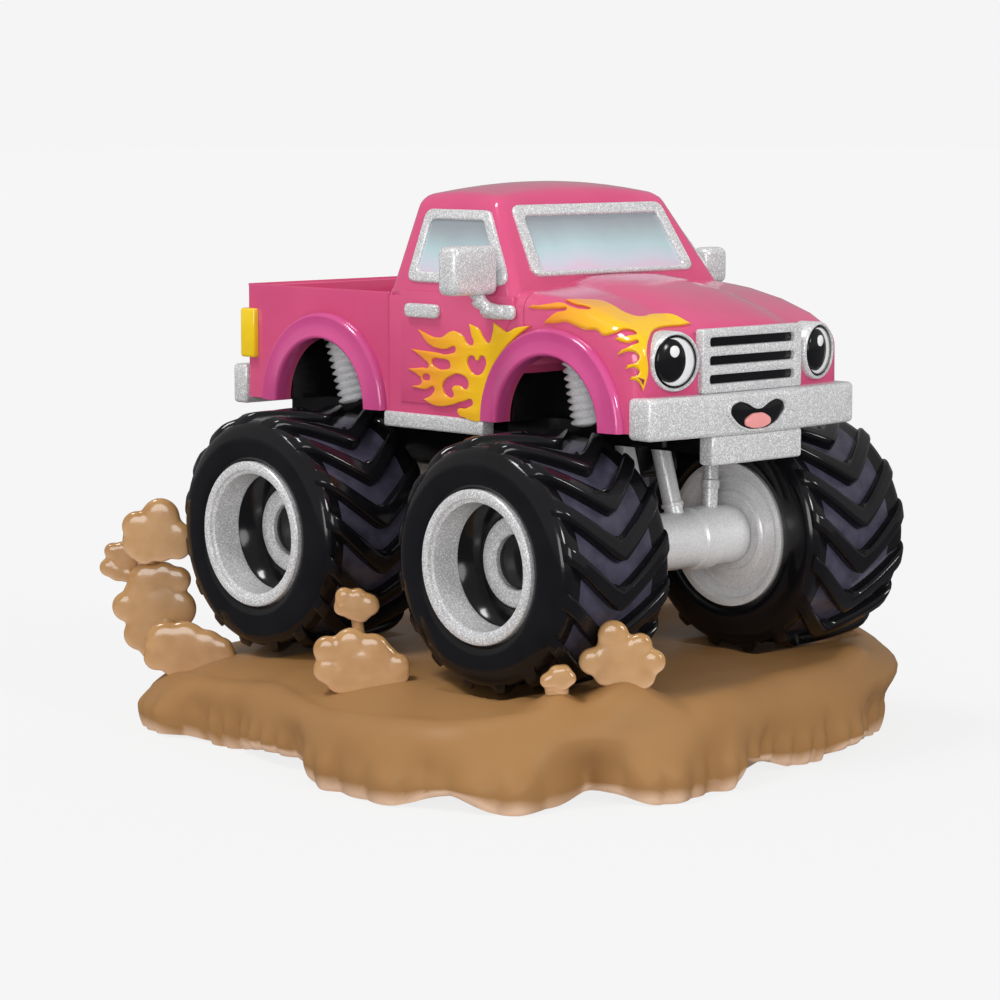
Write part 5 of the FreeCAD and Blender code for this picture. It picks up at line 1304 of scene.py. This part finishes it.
side_flames = []
for side in SIDES.values():
    loops = [[(-side * x, z, *tip) for x, z, *tip in loop] for loop in [FLAME_SIDE] + FLAME_HOLES]
    flame = plate(loops, 0.75, FLAME_SOFT, smooth=True)
    side_flames.append(on_side(flame, side, 0, HALF_WIDTH - 0.25, 0))
make_piece("flame_sides", joined(side_flames), flame_enamel("side flame enamel", -3.5, 12.0), crease=50)

hull = BVHTree.FromBMesh(front_hull)
across = FLAME_AIM.cross(UP).normalized()
upward = across.cross(FLAME_AIM)
flame = plate([FLAME_HOOD], 0.8, FLAME_SOFT, smooth=True)
cut_lines(flame, FORE, [-6.5 + 0.5 * n for n in range(42)])
cut_lines(flame, LEFT, [-11 + 0.5 * n for n in range(30)])
for vert in flame.verts:
    start = FLAME_MIDDLE + across * vert.co.x + upward * vert.co.y - FLAME_AIM * FLAME_RUN_UP
    spot = hull.ray_cast(start, FLAME_AIM)[0] or start + FLAME_AIM * FLAME_RUN_UP
    vert.co = spot - FLAME_AIM * (vert.co.z - 0.3)
bmesh.ops.recalc_face_normals(flame, faces=flame.faces)
make_piece("flame_hood", flame, flame_enamel("hood flame enamel", 21.0, 37.0), crease=50)

# Studio: a pale floor, pale surroundings, three lamps far off and the camera.
FLOOR_HALF = 6
SHADOW_KEPT = 0.12
BACKDROP = seen(245, 245, 245)


def grey(value):
    return (value, value, value, 1)


def choose(tree, share, output, usual, special):
    """A mix of two shaders that turns to the special one as the share nears 1."""
    mix = add_node(tree, "MixShader")
    wire(tree, (share, output, mix, "Fac"), (usual, 0, mix, 1), (special, 0, mix, 2))
    return mix


sheet = bmesh.new()
bmesh.ops.create_grid(sheet, x_segments=1, y_segments=1, size=FLOOR_HALF)
floor_piece = put_in_scene("studio_floor", as_mesh("studio_floor", sheet))
floor_finish = bpy.data.materials.new("studio floor")
floor_finish.use_nodes = True
tree = floor_finish.node_tree
tree.nodes.clear()
rays = add_node(tree, "LightPath")
eye_share = add_node(tree, "Math", {1: 1 - SHADOW_KEPT}, operation="MULTIPLY")
wire(tree, (rays, "Is Camera Ray", eye_share, 0))
plain = add_node(tree, "BsdfDiffuse", {"Color": grey(0.7)})
glow = add_node(tree, "Emission", {"Color": grey(0.935)})
dim = add_node(tree, "Emission", {"Color": (0.12, 0.12, 0.13, 1)})
for_eye = choose(tree, eye_share, 0, plain, glow)
for_gloss = choose(tree, rays, "Is Glossy Ray", for_eye, dim)
wire(tree, (for_gloss, 0, add_node(tree, "OutputMaterial"), "Surface"))
floor_piece.data.materials.append(floor_finish)

world = bpy.data.worlds.new("studio")
bpy.context.scene.world = world
world.use_nodes = True
tree = world.node_tree
tree.nodes.clear()
rays = add_node(tree, "LightPath")
around = add_node(tree, "Background", {"Color": grey(1), "Strength": 0.6})
in_gloss = add_node(tree, "Background", {"Color": grey(1), "Strength": 0.34})
shown = add_node(tree, "Background", {"Color": BACKDROP})
for_gloss = choose(tree, rays, "Is Glossy Ray", around, in_gloss)
for_eye = choose(tree, rays, "Is Camera Ray", for_gloss, shown)
wire(tree, (for_eye, 0, add_node(tree, "OutputWorld"), "Surface"))


def far_lamp(name, way, strength, spread):
    """A lamp far off towards a way, so that the floor is lit evenly."""
    lamp = bpy.data.lights.new(name, "SUN")
    lamp.energy = strength
    lamp.angle = math.radians(spread)
    holder = put_in_scene(name, lamp)
    holder.location = Vector(way).normalized()
    holder.rotation_euler = Vector(way).to_track_quat("Z", "Y").to_euler()


far_lamp("lamp_overhead", (-0.2, -0.45, 1.0), 1.4, 16)
far_lamp("lamp_right", (1.0, 0.05, 0.5), 0.8, 12)
far_lamp("lamp_low", (0.62, -0.8, 0.15), 0.85, 26)

camera = put_in_scene("camera", bpy.data.cameras.new("camera"))
bpy.context.scene.camera = camera
camera.data.sensor_width = 36
camera.data.lens = 112.9
camera.data.clip_start = 0.01
camera.location = (0.30827, -0.30429, 0.08499)
aim = Vector((-0.00812, 0, 0.03109)) - camera.location
camera.rotation_euler = aim.to_track_quat("-Z", "Y").to_euler()
bpy.context.scene.view_settings.view_transform = "Standard"
